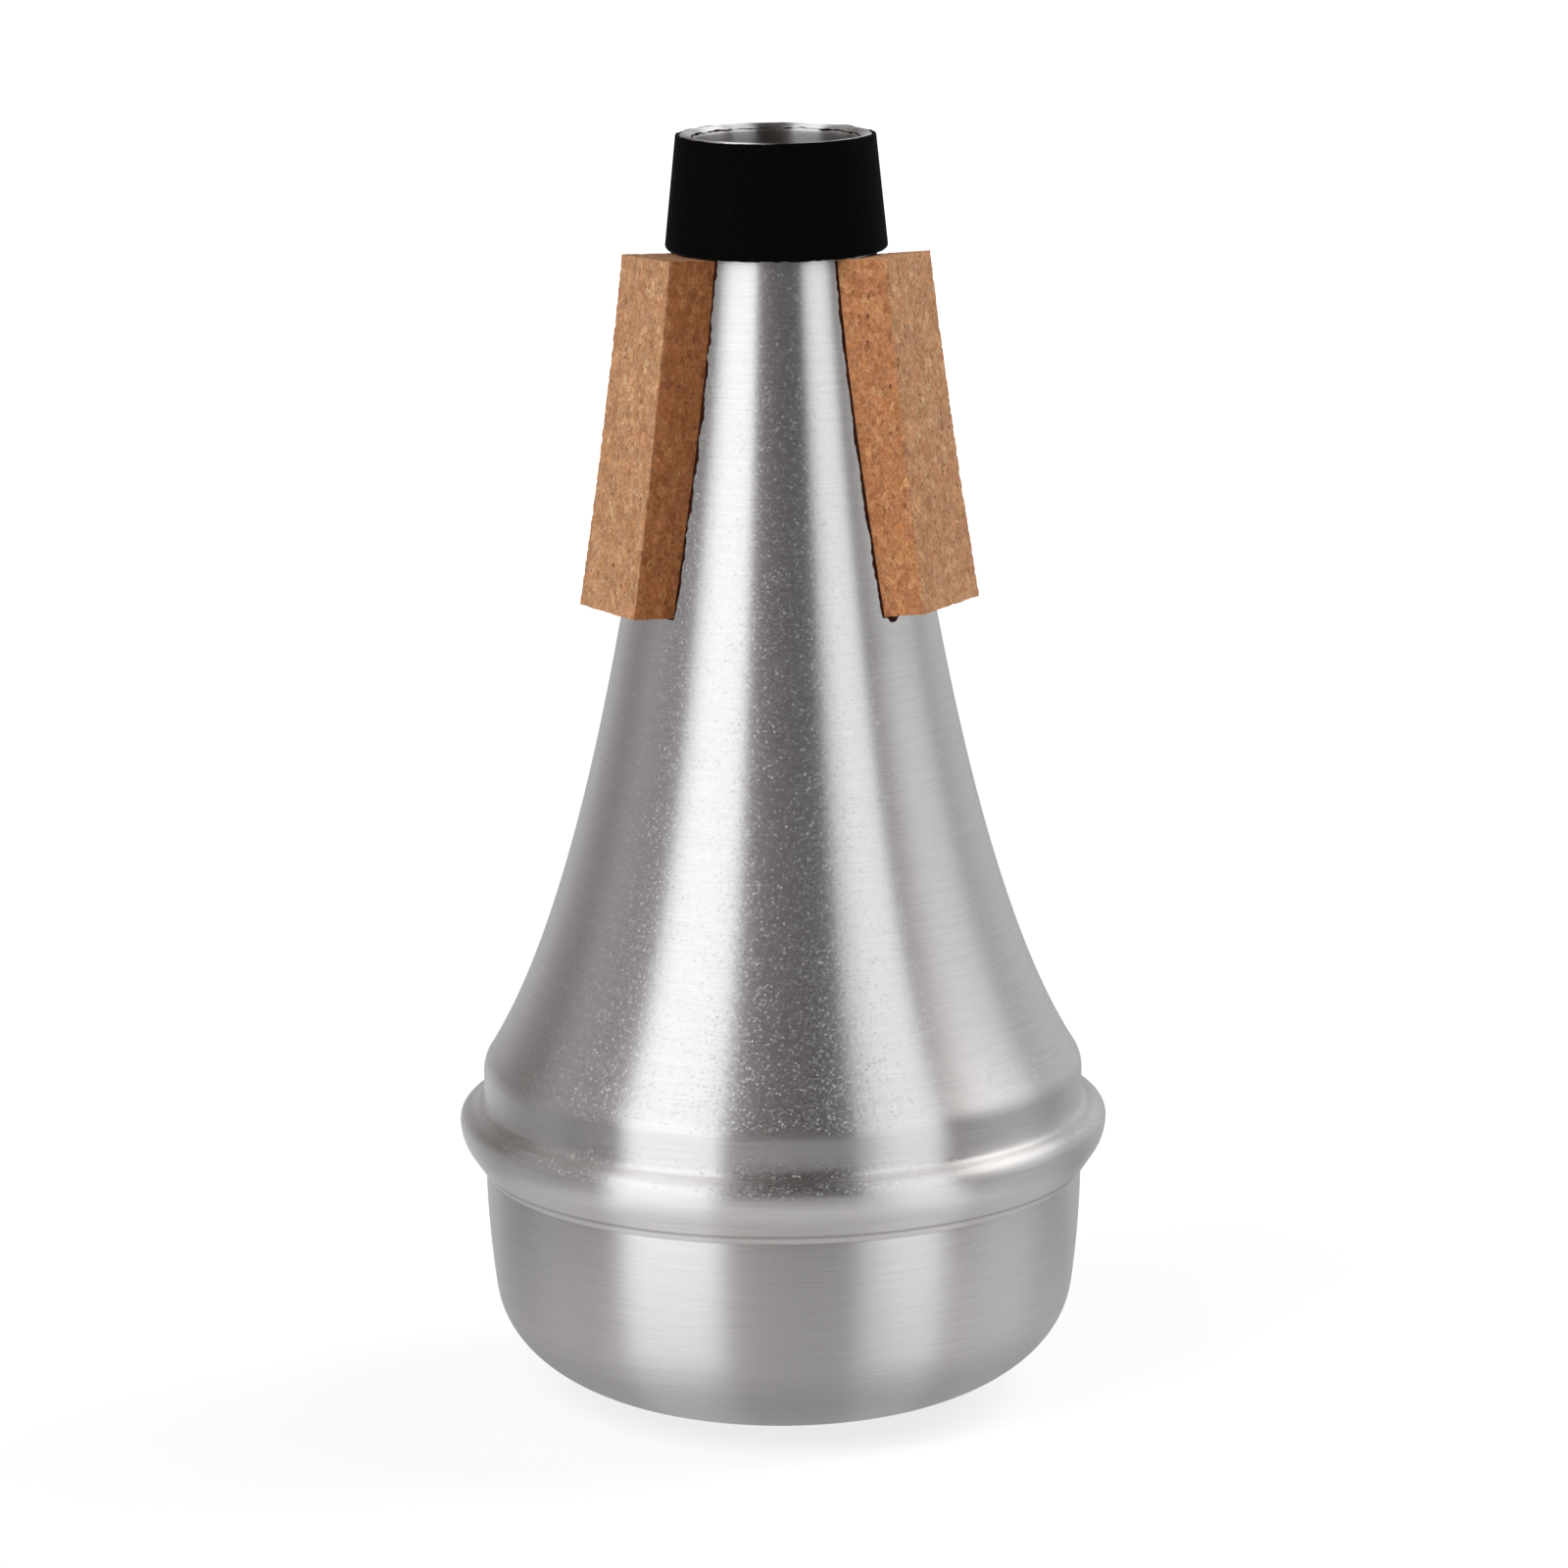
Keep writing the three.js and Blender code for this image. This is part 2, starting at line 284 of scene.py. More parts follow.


# grit, painted shade and polish of the finish at a height, as pairs of a share and a height
GRIT_LINE = [
    (0.9, 165.1), (0.6, 150), (1.0, 115), (1.1, 75), (1.5, 45), (0.5, 43.8), (0.5, 40.8),
    (1.3, 39.6), (1.3, 37.2), (0.3, 35.6), (0.1, 0.0),
]
# painted shade: darker in the wall under the shoulder, in the groove, at the seam and in the bore
PAINTED_SHADE_LINE = [(0.0, 165.1), (0.0, 44.6), (0.12, 43.4), (0.12, 39.8), (0.0, 38.6), (0.0, 0.0)]
POLISH_LINE = [
    (0.0, 165.1), (0.0, 45.0), (1.0, 43.0), (1.0, 39.4), (0.15, 38.5), (0.15, 37.0),
    (1.0, 35.0), (1.0, 0.0),
]
# marks of the groove, of the skirt's edge and of the inside, which has no painted shade near the
# lip
GROOVE_SHADE, GROOVE_POLISH = 0.45, 1.0
SKIRT_EDGE_MARKS = (0.1, 0.4, 0.5)
INSIDE_GRIT, INSIDE_SHADE, CLEAN_ABOVE = 0.3, 0.5, 164.0


def radius_at(line, height):
    """The radius, or other first value, of a falling line at a height."""
    place = bisect.bisect_left(line, -height, 1, len(line) - 1, key=lambda point: -point[1])
    above, below = line[place - 1], line[place]
    share = (above[1] - height) / (above[1] - below[1])
    return above[0] + (below[0] - above[0]) * share


cone_marks = [
    tuple(radius_at(line, height) for line in (GRIT_LINE, PAINTED_SHADE_LINE, POLISH_LINE))
    for _, height in cone_outside
]
groove_at = cone_outside.index(groove_floor)
cone_marks[groove_at] = (cone_marks[groove_at][0], GROOVE_SHADE, GROOVE_POLISH)
cone_marks += [SKIRT_EDGE_MARKS] * len(lower_edge)
cone_marks += [
    (INSIDE_GRIT, INSIDE_SHADE if height < CLEAN_ABOVE else 0.0, 0.0)
    for _, height in reversed(cone_inside)
]
cone_marks += [(INSIDE_GRIT, 0.0, 0.0)] * len(upper_edge)
cone = spun_piece("spun_cone", cone_outline, cone_marks)
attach(cone, "root")
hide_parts("cone_shell")

# %% [markdown]
# The cup
#
# The cup is a second spun piece: a shallow bowl with a flat spot to stand on. Its rim steps in
# and slides up inside the straight wall of the cone, as the lid of a tin does, and the skirt's
# edge closes on it in a fine seam. A superellipse follows its corner better than one arc.

# %% Cup
CUP_DRAFT, CUP_DRAFT_POWER = 3.75, 1.8
CUP_CORNER_RISE, CUP_CORNER_POWER = 14.6, 2.2
CUP_WALL_INSET = 0.06
STAND_RADIUS = 13.52
SEAM_GAP = 0.05
RIM_CLEARANCE = 0.15
RIM_TOP = 42.5
SEAM_ROUND, SEAM_ROUND_TURN, SEAM_ROUND_STEPS = 0.1, 60, 5
# the rim starts this far above the seam, and is cut once more at this height
RIM_START, RIM_CUT = 0.45, 36.0
CORNER_STEPS, WALL_STEPS = 40, 12
CUP_MARKS = (0.1, 0.0, 0.0)


def cup_wall_radius(height):
    """The drafted wall of the cup: a little narrower towards the floor."""
    depth_share = (SEAM_HEIGHT - height) / SEAM_HEIGHT
    return SKIRT_RADIUS - CUP_WALL_INSET - CUP_DRAFT * depth_share**CUP_DRAFT_POWER


corner_run = cup_wall_radius(0) - STAND_RADIUS
cup_corner = []
for i in range(CORNER_STEPS + 1):
    angle = math.pi / 2 * i / CORNER_STEPS
    height = CUP_CORNER_RISE * (1 - math.cos(angle) ** (2 / CUP_CORNER_POWER))
    inward = corner_run * (1 - math.sin(angle) ** (2 / CUP_CORNER_POWER))
    cup_corner.append((cup_wall_radius(height) - inward, height))
seam_bottom = SEAM_HEIGHT - SEAM_GAP
wall_rise = seam_bottom - SEAM_ROUND - CUP_CORNER_RISE
wall_heights = [CUP_CORNER_RISE + wall_rise * i / WALL_STEPS for i in range(1, WALL_STEPS + 1)]
cup_wall = [(cup_wall_radius(height), height) for height in wall_heights]
rim_radius = SHOULDER_RADIUS - SHEET - RIM_CLEARANCE
rim_start = seam_bottom + RIM_START
round_centre = (cup_wall[-1][0] - SEAM_ROUND, cup_wall[-1][1])
cup_outside = [*cup_corner, *cup_wall]
cup_inside = [p for p in offset(cup_outside, SHEET) if p[1] < seam_bottom - SHEET]
cup_outline = [
    (0.0, 0.0), (STAND_RADIUS / 2, 0.0), *cup_outside,
    *arc(round_centre, SEAM_ROUND, 0, SEAM_ROUND_TURN, SEAM_ROUND_STEPS)[1:],
    (rim_radius, rim_start), (rim_radius, RIM_CUT), (rim_radius, RIM_TOP),
    *sheet_edge((rim_radius, RIM_TOP), (rim_radius - SHEET, RIM_TOP))[::-1],
    (rim_radius - SHEET, RIM_TOP), (rim_radius - SHEET, rim_start),
    *reversed(cup_inside), (STAND_RADIUS / 2, SHEET), (0.0, SHEET),
]
cup = spun_piece("spun_cup", cup_outline, [CUP_MARKS] * len(cup_outline), closed=False)
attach(cup, "root")
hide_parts("end_cup")

# %% [markdown]
# The rubber sleeve
#
# The sleeve is a short moulded tube, pushed up over the lip so that only a bright line of
# metal shows above it. It was trimmed by hand, so its edges wander a little. Noise round the
# turn moves only the points near the two edges, which keeps the wall itself smooth.

# %% Sleeve
GUARD_TOP, GUARD_BOTTOM = 164.88, 150.2
GUARD_TOP_RADIUS, GUARD_BOTTOM_RADIUS = 12.78, 14.2
GUARD_TOP_INNER = LIP_RADIUS + 0.03
GUARD_TOP_DIP, GUARD_STEP_HEIGHT = 0.02, 164.0
GUARD_TOP_BEND, GUARD_BEND = 0.15, 0.7
GUARD_WALL_STEPS = 10
GRIP_HEIGHTS = (162.4, 159.5, 156.5, 153.5, GUARD_BOTTOM)
GRIP_GAP, NECK_EASE = 0.08, 0.05
# how far the edges wander, over what height of wall, and with what coarse and fine waves
EDGE_WANDER, TOP_SHARE, INNER_SHARE = 0.2, 0.6, 0.2
BOTTOM_WANDERS_OVER, TOP_WANDERS_OVER, RIM_BAND = 2.0, 0.9, 0.2
WALL_WANDER = 0.04
EDGE_WAVES, WALL_WAVES, FINE_SHARE = (6, 19), (5, 17), 0.6
ROOM_BELOW_TOP = 0.01
# the sleeve's edge climbs over the rim at this bearing, by this much, over this many degrees
EDGE_CLIMB = {"bearing": 38, "rise": 0.3, "inward": 0.4, "spread": 36}


def wander(bearing, coarse, fine):
    """Noise round the turn, between about -1 and 1, from a coarse and a fine wave."""
    place = Vector((math.cos(bearing), math.sin(bearing), 0.0))
    return noise.noise(place * coarse) + FINE_SHARE * noise.noise(place * fine)


grip = [(radius_at(upper_flare, height) + GRIP_GAP, height) for height in GRIP_HEIGHTS]
bottom_centre = (GUARD_BOTTOM_RADIUS - GUARD_BEND, GUARD_BOTTOM + GUARD_BEND)
top_centre = (GUARD_TOP_RADIUS - GUARD_TOP_BEND, GUARD_TOP - GUARD_TOP_BEND)
guard_wall = between(
    (GUARD_TOP_RADIUS, top_centre[1]), (GUARD_BOTTOM_RADIUS, bottom_centre[1]),
    [i / GUARD_WALL_STEPS for i in range(1, GUARD_WALL_STEPS)],
)
guard_outline = [
    (GUARD_TOP_INNER, GUARD_TOP - GUARD_TOP_DIP),
    *arc(top_centre, GUARD_TOP_BEND, 90, 0, 4),
    *guard_wall,
    *arc(bottom_centre, GUARD_BEND, 0, -90, 8),
    *reversed(grip),
    (NECK[0] + GRIP_GAP + NECK_EASE, NECK[1]),
    (GUARD_TOP_INNER, GUARD_STEP_HEIGHT),
]
guard = spun_piece("tip_sleeve", guard_outline)
for vert in guard.data.vertices:
    x, y, z = vert.co / MM
    bearing = math.atan2(x, -y)
    near_bottom = max(0.0, 1 - (z - GUARD_BOTTOM) / BOTTOM_WANDERS_OVER)
    near_top = max(0.0, 1 - (GUARD_TOP - z) / TOP_WANDERS_OVER)
    from_climb = (math.degrees(bearing) - EDGE_CLIMB["bearing"]) / EDGE_CLIMB["spread"]
    climb_share = math.exp(-from_climb**2)
    rough = EDGE_WANDER * wander(bearing, *EDGE_WAVES)
    climb = EDGE_CLIMB["rise"] * climb_share
    height = z + near_bottom * abs(rough) + near_top * (TOP_SHARE * rough + climb)
    height = min(height, MUTE_HEIGHT - ROOM_BELOW_TOP)
    radius = math.hypot(x, y)
    moved = radius
    if radius > GUARD_TOP_INNER + RIM_BAND:
        moved += WALL_WANDER * wander(bearing, *WALL_WAVES)
    elif z > GUARD_TOP - RIM_BAND:
        moved -= EDGE_CLIMB["inward"] * climb_share - INNER_SHARE * rough
    vert.co = Vector((x * moved / radius, y * moved / radius, height)) * MM
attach(guard, "root")
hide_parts("tip_guard")

# %% [markdown]
# A dark line in the mouth
#
# Inside the mouth a ragged black line runs where the lip turns into the bore. It is drawn as a
# very thin ring of black rubber that follows the bend of the lip. Its width changes with noise,
# so it breaks up like the real line.

# %% Dark ring in the mouth
SMEAR_HEIGHT, SMEAR_SUNK = 0.035, 0.1
SMEAR_STEPS = 6
# where it lies on the lip's bend and half its width, in degrees
SMEAR_MIDDLE, SMEAR_HALF = 150, 7
# the width as shares of that: at least, everywhere, more at the sides, and from noise
LEAST_SHARE, EVEN_SHARE, SIDE_SHARE, NOISE_SHARE = 0.06, 0.1, 0.5, 1.1
SIDE_POWER = 1.5
SMEAR_SWAY = 9
WIDTH_WAVES, SWAY_WAVES = (9, 33), (5, 31)

smear_spread = (SMEAR_MIDDLE - SMEAR_HALF, SMEAR_MIDDLE + SMEAR_HALF)
smear_outline = [
    *arc(LIP_CENTRE, LIP_BEND + SMEAR_HEIGHT, *smear_spread, SMEAR_STEPS),
    *arc(LIP_CENTRE, LIP_BEND - SMEAR_SUNK, *reversed(smear_spread), SMEAR_STEPS),
]
smear = spun_piece("dark_lip_ring", smear_outline)
for vert in smear.data.vertices:
    x, y, z = vert.co / MM
    bearing = math.atan2(x, -y)
    run, rise = LIP_CENTRE[0] - math.hypot(x, y), z - LIP_CENTRE[1]
    reach = math.hypot(run, rise)
    share = (180 - math.degrees(math.atan2(rise, run)) - SMEAR_MIDDLE) / SMEAR_HALF
    sideways = abs(math.sin(bearing)) ** SIDE_POWER
    ragged = NOISE_SHARE * wander(bearing, *WIDTH_WAVES)
    half = SMEAR_HALF * max(LEAST_SHARE, EVEN_SHARE + SIDE_SHARE * sideways + ragged)
    middle = SMEAR_MIDDLE - SMEAR_SWAY * wander(bearing, *SWAY_WAVES)
    angle = math.radians(180 - middle - half * share)
    radius = LIP_CENTRE[0] - reach * math.cos(angle)
    height = LIP_CENTRE[1] + reach * math.sin(angle)
    vert.co = Vector((math.sin(bearing) * radius, -math.cos(bearing) * radius, height)) * MM
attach(smear, "root")
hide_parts("tip_guard")

# %% [markdown]
# Cork strips
#
# Each strip was cut from a sheet of pressed cork, glued on, and sanded with the others to the
# bell's taper. The corners of the two strips that the photograph shows were measured, so the
# strips differ a little as they do there. A cube that is cut into a fine grid is bent into each
# strip: its outer face is hollow by a third of a millimetre, and noise crumbles its edges where
# grains fell out.

# %% Strips
# widths and outer radii are given at the lower and the upper end, and slants and heights at
# the back and the face
# side_tone_and_shade: cut sides are redder, and their painted shade is strongest on the left strip
STRIPS = {
    "left": {
        "bearing": -58.39, "half_width": (6.78, 5.94), "back_half_width": (5.68, 4.68),
        "outer": (25.68, 19.34), "slant": (0.0, 0.15), "bottom": (105.24, 105.81),
        "top": (150.09, 150.48), "side_tone_and_shade": 1.0,
    },
    "right": {
        "bearing": 59.84, "half_width": (7.34, 5.55), "back_half_width": (6.27, 5.1),
        "outer": (25.33, 19.29), "slant": (-0.25, -0.02), "bottom": (105.26, 106.29),
        "top": (149.93, 150.57), "side_tone_and_shade": 0.6,
    },
    "rear": {
        "bearing": 180.0, "half_width": (6.9, 5.9), "back_half_width": (6.1, 5.1),
        "outer": (25.4, 19.35), "slant": (0.0, 0.0), "bottom": (105.3, 106.1),
        "top": (149.95, 150.4), "side_tone_and_shade": 0.8,
    },
}
CORK_GRID = (26, 11, 150)
BACK_GAP = 0.12
HOLLOW = 0.3
# roughness of the faces: its depth, its share at the back, and its scale
CORK_ROUGHNESS, BACK_ROUGH_SHARE, ROUGH_SCALE = 0.07, 0.3, 1.5
# bites out of the edges: their depth, what they have at least, and a coarse and a fine scale
CORK_CRUMBLE, BITE_LEAST, BITE_SCALE = 0.13, 0.15, 0.8
FINE_BITE_SCALE, FINE_BITE_SHARE = 2.3, 1.1
OUTER_EDGE_TONE = 0.5
CORK_SEED_STEP = 7.3
AT_BORDER, NEARLY = 0.999, 1e-4
# without a seed, noise vectors start from the clock and each run gives another cork
CORK_SEED = 11
noise.seed_set(CORK_SEED)
whole_flare = [*upper_flare, *lower_flare[1:]]


def mix(low, high, share):
    """The value that lies at a share of the way from low to high."""
    return low + (high - low) * share


def outward(bearing):
    """The level direction at a bearing: 0 faces the viewer, and 90 is to the right."""
    angle = math.radians(bearing)
    return Vector((math.sin(angle), -math.cos(angle), 0.0))


def cut_block(cuts):
    """A unit cube whose edges are cut so many times across, in depth and in height."""
    mesh_data = bmesh.new()
    bmesh.ops.create_cube(mesh_data, size=1.0)
    for axis, number in enumerate(cuts):
        edges = [e for e in mesh_data.edges
                 if abs(e.verts[0].co[axis] - e.verts[1].co[axis]) > 0.5]
        if number:
            bmesh.ops.subdivide_edges(mesh_data, edges=edges, cuts=number, use_grid_fill=True)
    return mesh_data


def cork_strip(name, strip, seed):
    """A strip in its place on the cone."""
    mesh_data = cut_block(CORK_GRID)
    outer_way = outward(strip["bearing"])
    side_way = outward(strip["bearing"] + 90)
    side = mesh_data.verts.layers.float.new("cut_side_and_shade")
    for vert in mesh_data.verts:
        across, depth, rise = vert.co.x * 2, vert.co.y + 0.5, vert.co.z + 0.5
        borders = sum(abs(abs(v) - 0.5) < NEARLY for v in vert.co)
        edge_tone = OUTER_EDGE_TONE if depth > AT_BORDER else 1.0
        # painted shade: each strip's cut sides take its share of the darker, redder side tone
        vert[side] = strip["side_tone_and_shade"] * (abs(across) > AT_BORDER) * edge_tone
        height = mix(mix(*strip["bottom"], depth), mix(*strip["top"], depth), rise)
        height += mix(*strip["slant"], depth) * across * rise
        back_half_width = mix(*strip["back_half_width"], rise)
        half_width = mix(back_half_width, mix(*strip["half_width"], rise), depth)
        beside = across * back_half_width
        back = math.sqrt((radius_at(whole_flare, height) + BACK_GAP) ** 2 - beside**2)
        face = mix(*strip["outer"], rise) - HOLLOW * 4 * rise * (1 - rise)
        place = outer_way * mix(back, face, depth) + side_way * across * half_width
        place.z = height
        rough = CORK_ROUGHNESS * noise.noise_vector(place * ROUGH_SCALE + Vector((seed, 0, 0)))
        if borders > 1:
            inward_way = outer_way * (0.5 - depth) * 2 - side_way * across
            inward_way.z = (0.5 - rise) * 2 if abs(rise - 0.5) * 2 > AT_BORDER else 0.0
            fine_bite = noise.noise(place * FINE_BITE_SCALE + Vector((0, seed, 0)))
            bite = noise.noise(place * BITE_SCALE) + FINE_BITE_SHARE * fine_bite
            rough += inward_way.normalized() * CORK_CRUMBLE * (max(0.0, bite) + BITE_LEAST)
        if depth < NEARLY:
            rough *= BACK_ROUGH_SHARE
        vert.co = (place + rough) * MM
        vert.tag = borders > 1
    for edge in mesh_data.edges:
        edge.smooth = not (edge.verts[0].tag and edge.verts[1].tag)
    return finished(name, mesh_data)


for seed, (place, strip) in enumerate(STRIPS.items(), start=1):
    cork_piece = cork_strip(f"cork_strip_{place}", strip, seed * CORK_SEED_STEP)
    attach(cork_piece, "root")
    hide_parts(f"cork_{place}")
    # the photograph shows no cork in the metal beside the strips, so mirror rays pass them
    cork_piece.visible_glossy = False
    strip["piece"] = cork_piece

# %% [markdown]
# Glue
#
# Contact cement fills the thin wedge between the round cone and the flat back of each strip.
# It stops short of the strip's side, and shows as a dark wavy line beside the cork. The same
# cut cube is laid on the cone: its underside follows the metal, and its top follows the back
# of the cork and slopes down to the ragged edge.

# %% Glue beds
GLUE_GRID = (56, 0, 150)
GLUE_FILM = 0.02
# how far the glue shows beyond the back of each strip, at least and at most
GLUE_SQUEEZE = {"left": (0.0, 0.5), "right": (0.2, 0.52), "rear": (0.2, 0.5)}
GLUE_ROUND, GLUE_BULGE = 0.25, 0.7
GLUE_BELOW, GLUE_ABOVE = 0.15, 0.05
# where a drop of glue hangs below the strip: its place across and its length
GLUE_DROP = {"left": (0.9, 0.1), "right": (-0.72, 0.7), "rear": (0.2, 0.3)}
DROP_HALF_WIDTH = 0.13
# how ragged the side is: its middle, and the scale and share of a slow and a fine noise
RAGGED_MIDDLE, RAGGED_SLOW, RAGGED_FINE = 0.5, (0.31, 0.8), (1.3, 0.5)
SIDES_APART = 5
GLUE_SEED_STEP = 3.7


def glue_bed(name, strip, drop, squeezed, seed):
    """The cement under one strip."""
    mesh_data = cut_block(GLUE_GRID)
    low_end, high_end = strip["bottom"][0], strip["top"][0]
    for vert in mesh_data.verts:
        across, depth, rise = vert.co.x * 2, vert.co.y + 0.5, vert.co.z + 0.5
        below = GLUE_BELOW + drop[1] * math.exp(-((across - drop[0]) / DROP_HALF_WIDTH) ** 4)
        height = mix(low_end - below, high_end + GLUE_ABOVE, rise)
        strip_share = min(max((height - low_end) / (high_end - low_end), 0.0), 1.0)
        cone_radius = radius_at(whole_flare, height)
        half_width = mix(*strip["back_half_width"], strip_share)
        track = Vector((seed + math.copysign(SIDES_APART, across), height, 0))
        ragged = RAGGED_MIDDLE
        for scale, share in (RAGGED_SLOW, RAGGED_FINE):
            ragged += share * noise.noise(track * scale)
        squeeze = mix(*squeezed, ragged)
        edge_turn = math.asin(half_width / cone_radius) + squeeze / cone_radius
        turn = across * edge_turn
        from_side = (edge_turn - abs(turn)) * cone_radius / GLUE_ROUND
        from_end = 1 - max(0.0, low_end - height) / below
        fill = min(max(from_side, 0.0), max(from_end, 0.0), 1.0) ** GLUE_BULGE
        radius = cone_radius + GLUE_FILM + (BACK_GAP - 2 * GLUE_FILM) * fill * depth
        way = outward(strip["bearing"] + math.degrees(turn))
        vert.co = (way * radius + Vector((0, 0, height))) * MM
    # the rim, where the film's two faces meet, becomes one edge
    bmesh.ops.remove_doubles(mesh_data, verts=mesh_data.verts[:], dist=MERGE_DISTANCE)
    return finished(name, mesh_data)


for seed, (place, strip) in enumerate(STRIPS.items(), start=1):
    drop, squeezed = GLUE_DROP[place], GLUE_SQUEEZE[place]
    glue_piece = glue_bed(f"glue_bed_{place}", strip, drop, squeezed, seed * GLUE_SEED_STEP)
    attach(glue_piece, "root")
    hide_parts(f"cork_glue_{place}")
    glue_piece.visible_glossy = False
    strip["glue"] = glue_piece

# %% [markdown]
# Materials from nodes
#
# Each finish is a small tree of nodes. One helper adds a node with its settings and its
# inputs, where an input is a value or the output of another node. It goes by its name, or by
# its number where names repeat. Colours are written as the hex values that a picture editor
# shows, and one function turns them to the linear values that Blender works with.

# %% Helpers for materials
# the colour sockets of a Mix node by number, because it has others of the same names
MIX_SHARE, MIX_FROM, MIX_TO, MIXED = 0, 6, 7, 2


def linear(hex_colour):
    """An sRGB hex colour as linear red, green, blue and alpha."""
    shares = [int(hex_colour[i:i + 2], 16) / 255 for i in (1, 3, 5)]
    return (*(c / 12.92 if c <= 0.04045 else ((c + 0.055) / 1.055) ** 2.4 for c in shares), 1.0)


def add_node(tree, kind, inputs=None, **settings):
    """A shader node with its settings; each input is a value or a socket to link from."""
    made = tree.nodes.new("ShaderNode" + kind)
    for name, value in settings.items():
        setattr(made, name, value)
    for name, value in (inputs or {}).items():
        if isinstance(value, bpy.types.NodeSocket):
            tree.links.new(value, made.inputs[name])
        else:
            made.inputs[name].default_value = value
    return made


def new_material(name):
    """An empty material and its node tree."""
    material = bpy.data.materials.new(name)
    material.use_nodes = True
    material.node_tree.nodes.clear()
    return material, material.node_tree


def ramp(tree, factor, stops):
    """A colour ramp from pairs of a position and a hex colour."""
    made = add_node(tree, "ValToRGB", {"Fac": factor})
    elements = made.color_ramp.elements
    while len(elements) < len(stops):
        elements.new(0.5)
    for element, (position, colour) in zip(elements, stops):
        element.position = position
        element.color = linear(colour)
    return made.outputs["Color"]


# %% [markdown]
# Spun aluminium, brushed on the lathe
#
# The sheet was finished with abrasive while it turned, so fine scratches run round the axis.
# They blur reflections up and down but hardly sideways, which is why each lamp shows as a
# bright upright band. An anisotropic metal gives that. Between the scratches lie small burrs,
# which lean to all sides. They are drawn as dots of a second, rougher metal with a tilted
# normal. A dot near a bright band catches its light, so the edges of the bands sparkle.
# The scratches and burrs are finer than a pixel on the real mute, so both are drawn coarser.

# %% Spun aluminium
BRUSH_WIDTH, BRUSH_LENGTH, BRUSH_DEPTH = 0.2 * MM, 9.0 * MM, 0.004 * MM
GRAIN_SIZE, GRAIN_DEPTH = 0.36 * MM, 0.003 * MM
SMOOTHEST, ROUGHEST, POLISH_CHANGE = 0.37, 0.41, -0.08
QUARTER_TURN = 0.25
BURR_SPACING, BURR_SHARE, BURR_TILT = 0.34 * MM, 0.43, 0.44
# a dot fades between these distances from its middle, and most dots are weak
DOT_CORE, DOT_RIM, DOT_POWER = 0.1, 0.8, 1.7
MOTTLE_STARTS, MOTTLE_FULL, MOTTLE_SHARE = 0.4, 0.7, 0.14
MIDDLE_GREY = (0.5, 0.5, 0.5)

aluminium, tree = new_material("spun_aluminium_brushed")
place = add_node(tree, "TexCoord").outputs["Object"]
split = add_node(tree, "SeparateXYZ", {"Vector": place})
along, grit, painted_shade, polish = (
    add_node(tree, "Attribute", attribute_name=layer).outputs["Fac"]
    for layer in ("along", "grit", "painted_shade", "polish")
)
unrolled = add_node(tree, "CombineXYZ", {
    "X": split.outputs["X"], "Y": split.outputs["Y"], "Z": along}).outputs["Vector"]
brush_place = add_node(tree, "VectorMath", {
    0: unrolled, 1: (1 / BRUSH_LENGTH, 1 / BRUSH_LENGTH, 1 / BRUSH_WIDTH),
}, operation="MULTIPLY").outputs["Vector"]
brush = add_node(tree, "TexNoise", {
    "Vector": brush_place, "Scale": 1.0, "Detail": 3.0}).outputs["Fac"]
grain = add_node(tree, "TexNoise", {
    "Vector": unrolled, "Scale": 1 / GRAIN_SIZE, "Detail": 2.0, "Roughness": 0.6}).outputs["Fac"]
brush_bump = add_node(tree, "Bump", {"Height": brush, "Strength": 1.0, "Distance": BRUSH_DEPTH})
grain_height = add_node(tree, "Math", {0: grain, 1: grit}, operation="MULTIPLY").outputs["Value"]
grain_bump = add_node(tree, "Bump", {
    "Height": grain_height, "Strength": 1.0, "Distance": GRAIN_DEPTH,
    "Normal": brush_bump.outputs["Normal"]})
round_way = add_node(tree, "VectorMath", {
    0: (0.0, 0.0, 1.0), 1: place}, operation="CROSS_PRODUCT").outputs["Vector"]
round_way = add_node(tree, "VectorMath", {0: round_way}, operation="NORMALIZE").outputs["Vector"]
tone = ramp(tree, brush, [(0.25, "#ECE9E7"), (0.75, "#FBF8F6")])
# painted shade: the metal turns a darker grey where the shade layer is set
tone = add_node(tree, "Mix", {
    MIX_SHARE: painted_shade, MIX_FROM: tone, MIX_TO: linear("#6A6660")}, data_type="RGBA").outputs[MIXED]
roughness = add_node(tree, "MapRange", {
    "Value": brush, "To Min": SMOOTHEST, "To Max": ROUGHEST}).outputs["Result"]
roughness = add_node(tree, "Math", {
    0: polish, 1: POLISH_CHANGE, 2: roughness}, operation="MULTIPLY_ADD").outputs["Value"]
metal = add_node(tree, "BsdfPrincipled", {
    "Base Color": tone, "Metallic": 1.0, "Roughness": roughness, "Anisotropic": 1.0,
    "Anisotropic Rotation": QUARTER_TURN, "Normal": grain_bump.outputs["Normal"],
    "Tangent": round_way})
dots = add_node(tree, "TexVoronoi", {"Vector": unrolled, "Scale": 1 / BURR_SPACING}, feature="F1")
dot_tint = add_node(tree, "SeparateXYZ", {"Vector": dots.outputs["Color"]}).outputs
tilt = add_node(tree, "CombineXYZ", {
    "X": dot_tint["Y"], "Y": dot_tint["Z"], "Z": 0.5}).outputs["Vector"]
tilt = add_node(tree, "VectorMath", {
    0: tilt, 1: MIDDLE_GREY}, operation="SUBTRACT").outputs["Vector"]
tilt = add_node(tree, "VectorMath", {
    0: tilt, "Scale": BURR_TILT}, operation="SCALE").outputs["Vector"]
straight = add_node(tree, "NewGeometry").outputs["Normal"]
tilted = add_node(tree, "VectorMath", {0: straight, 1: tilt}, operation="ADD").outputs["Vector"]
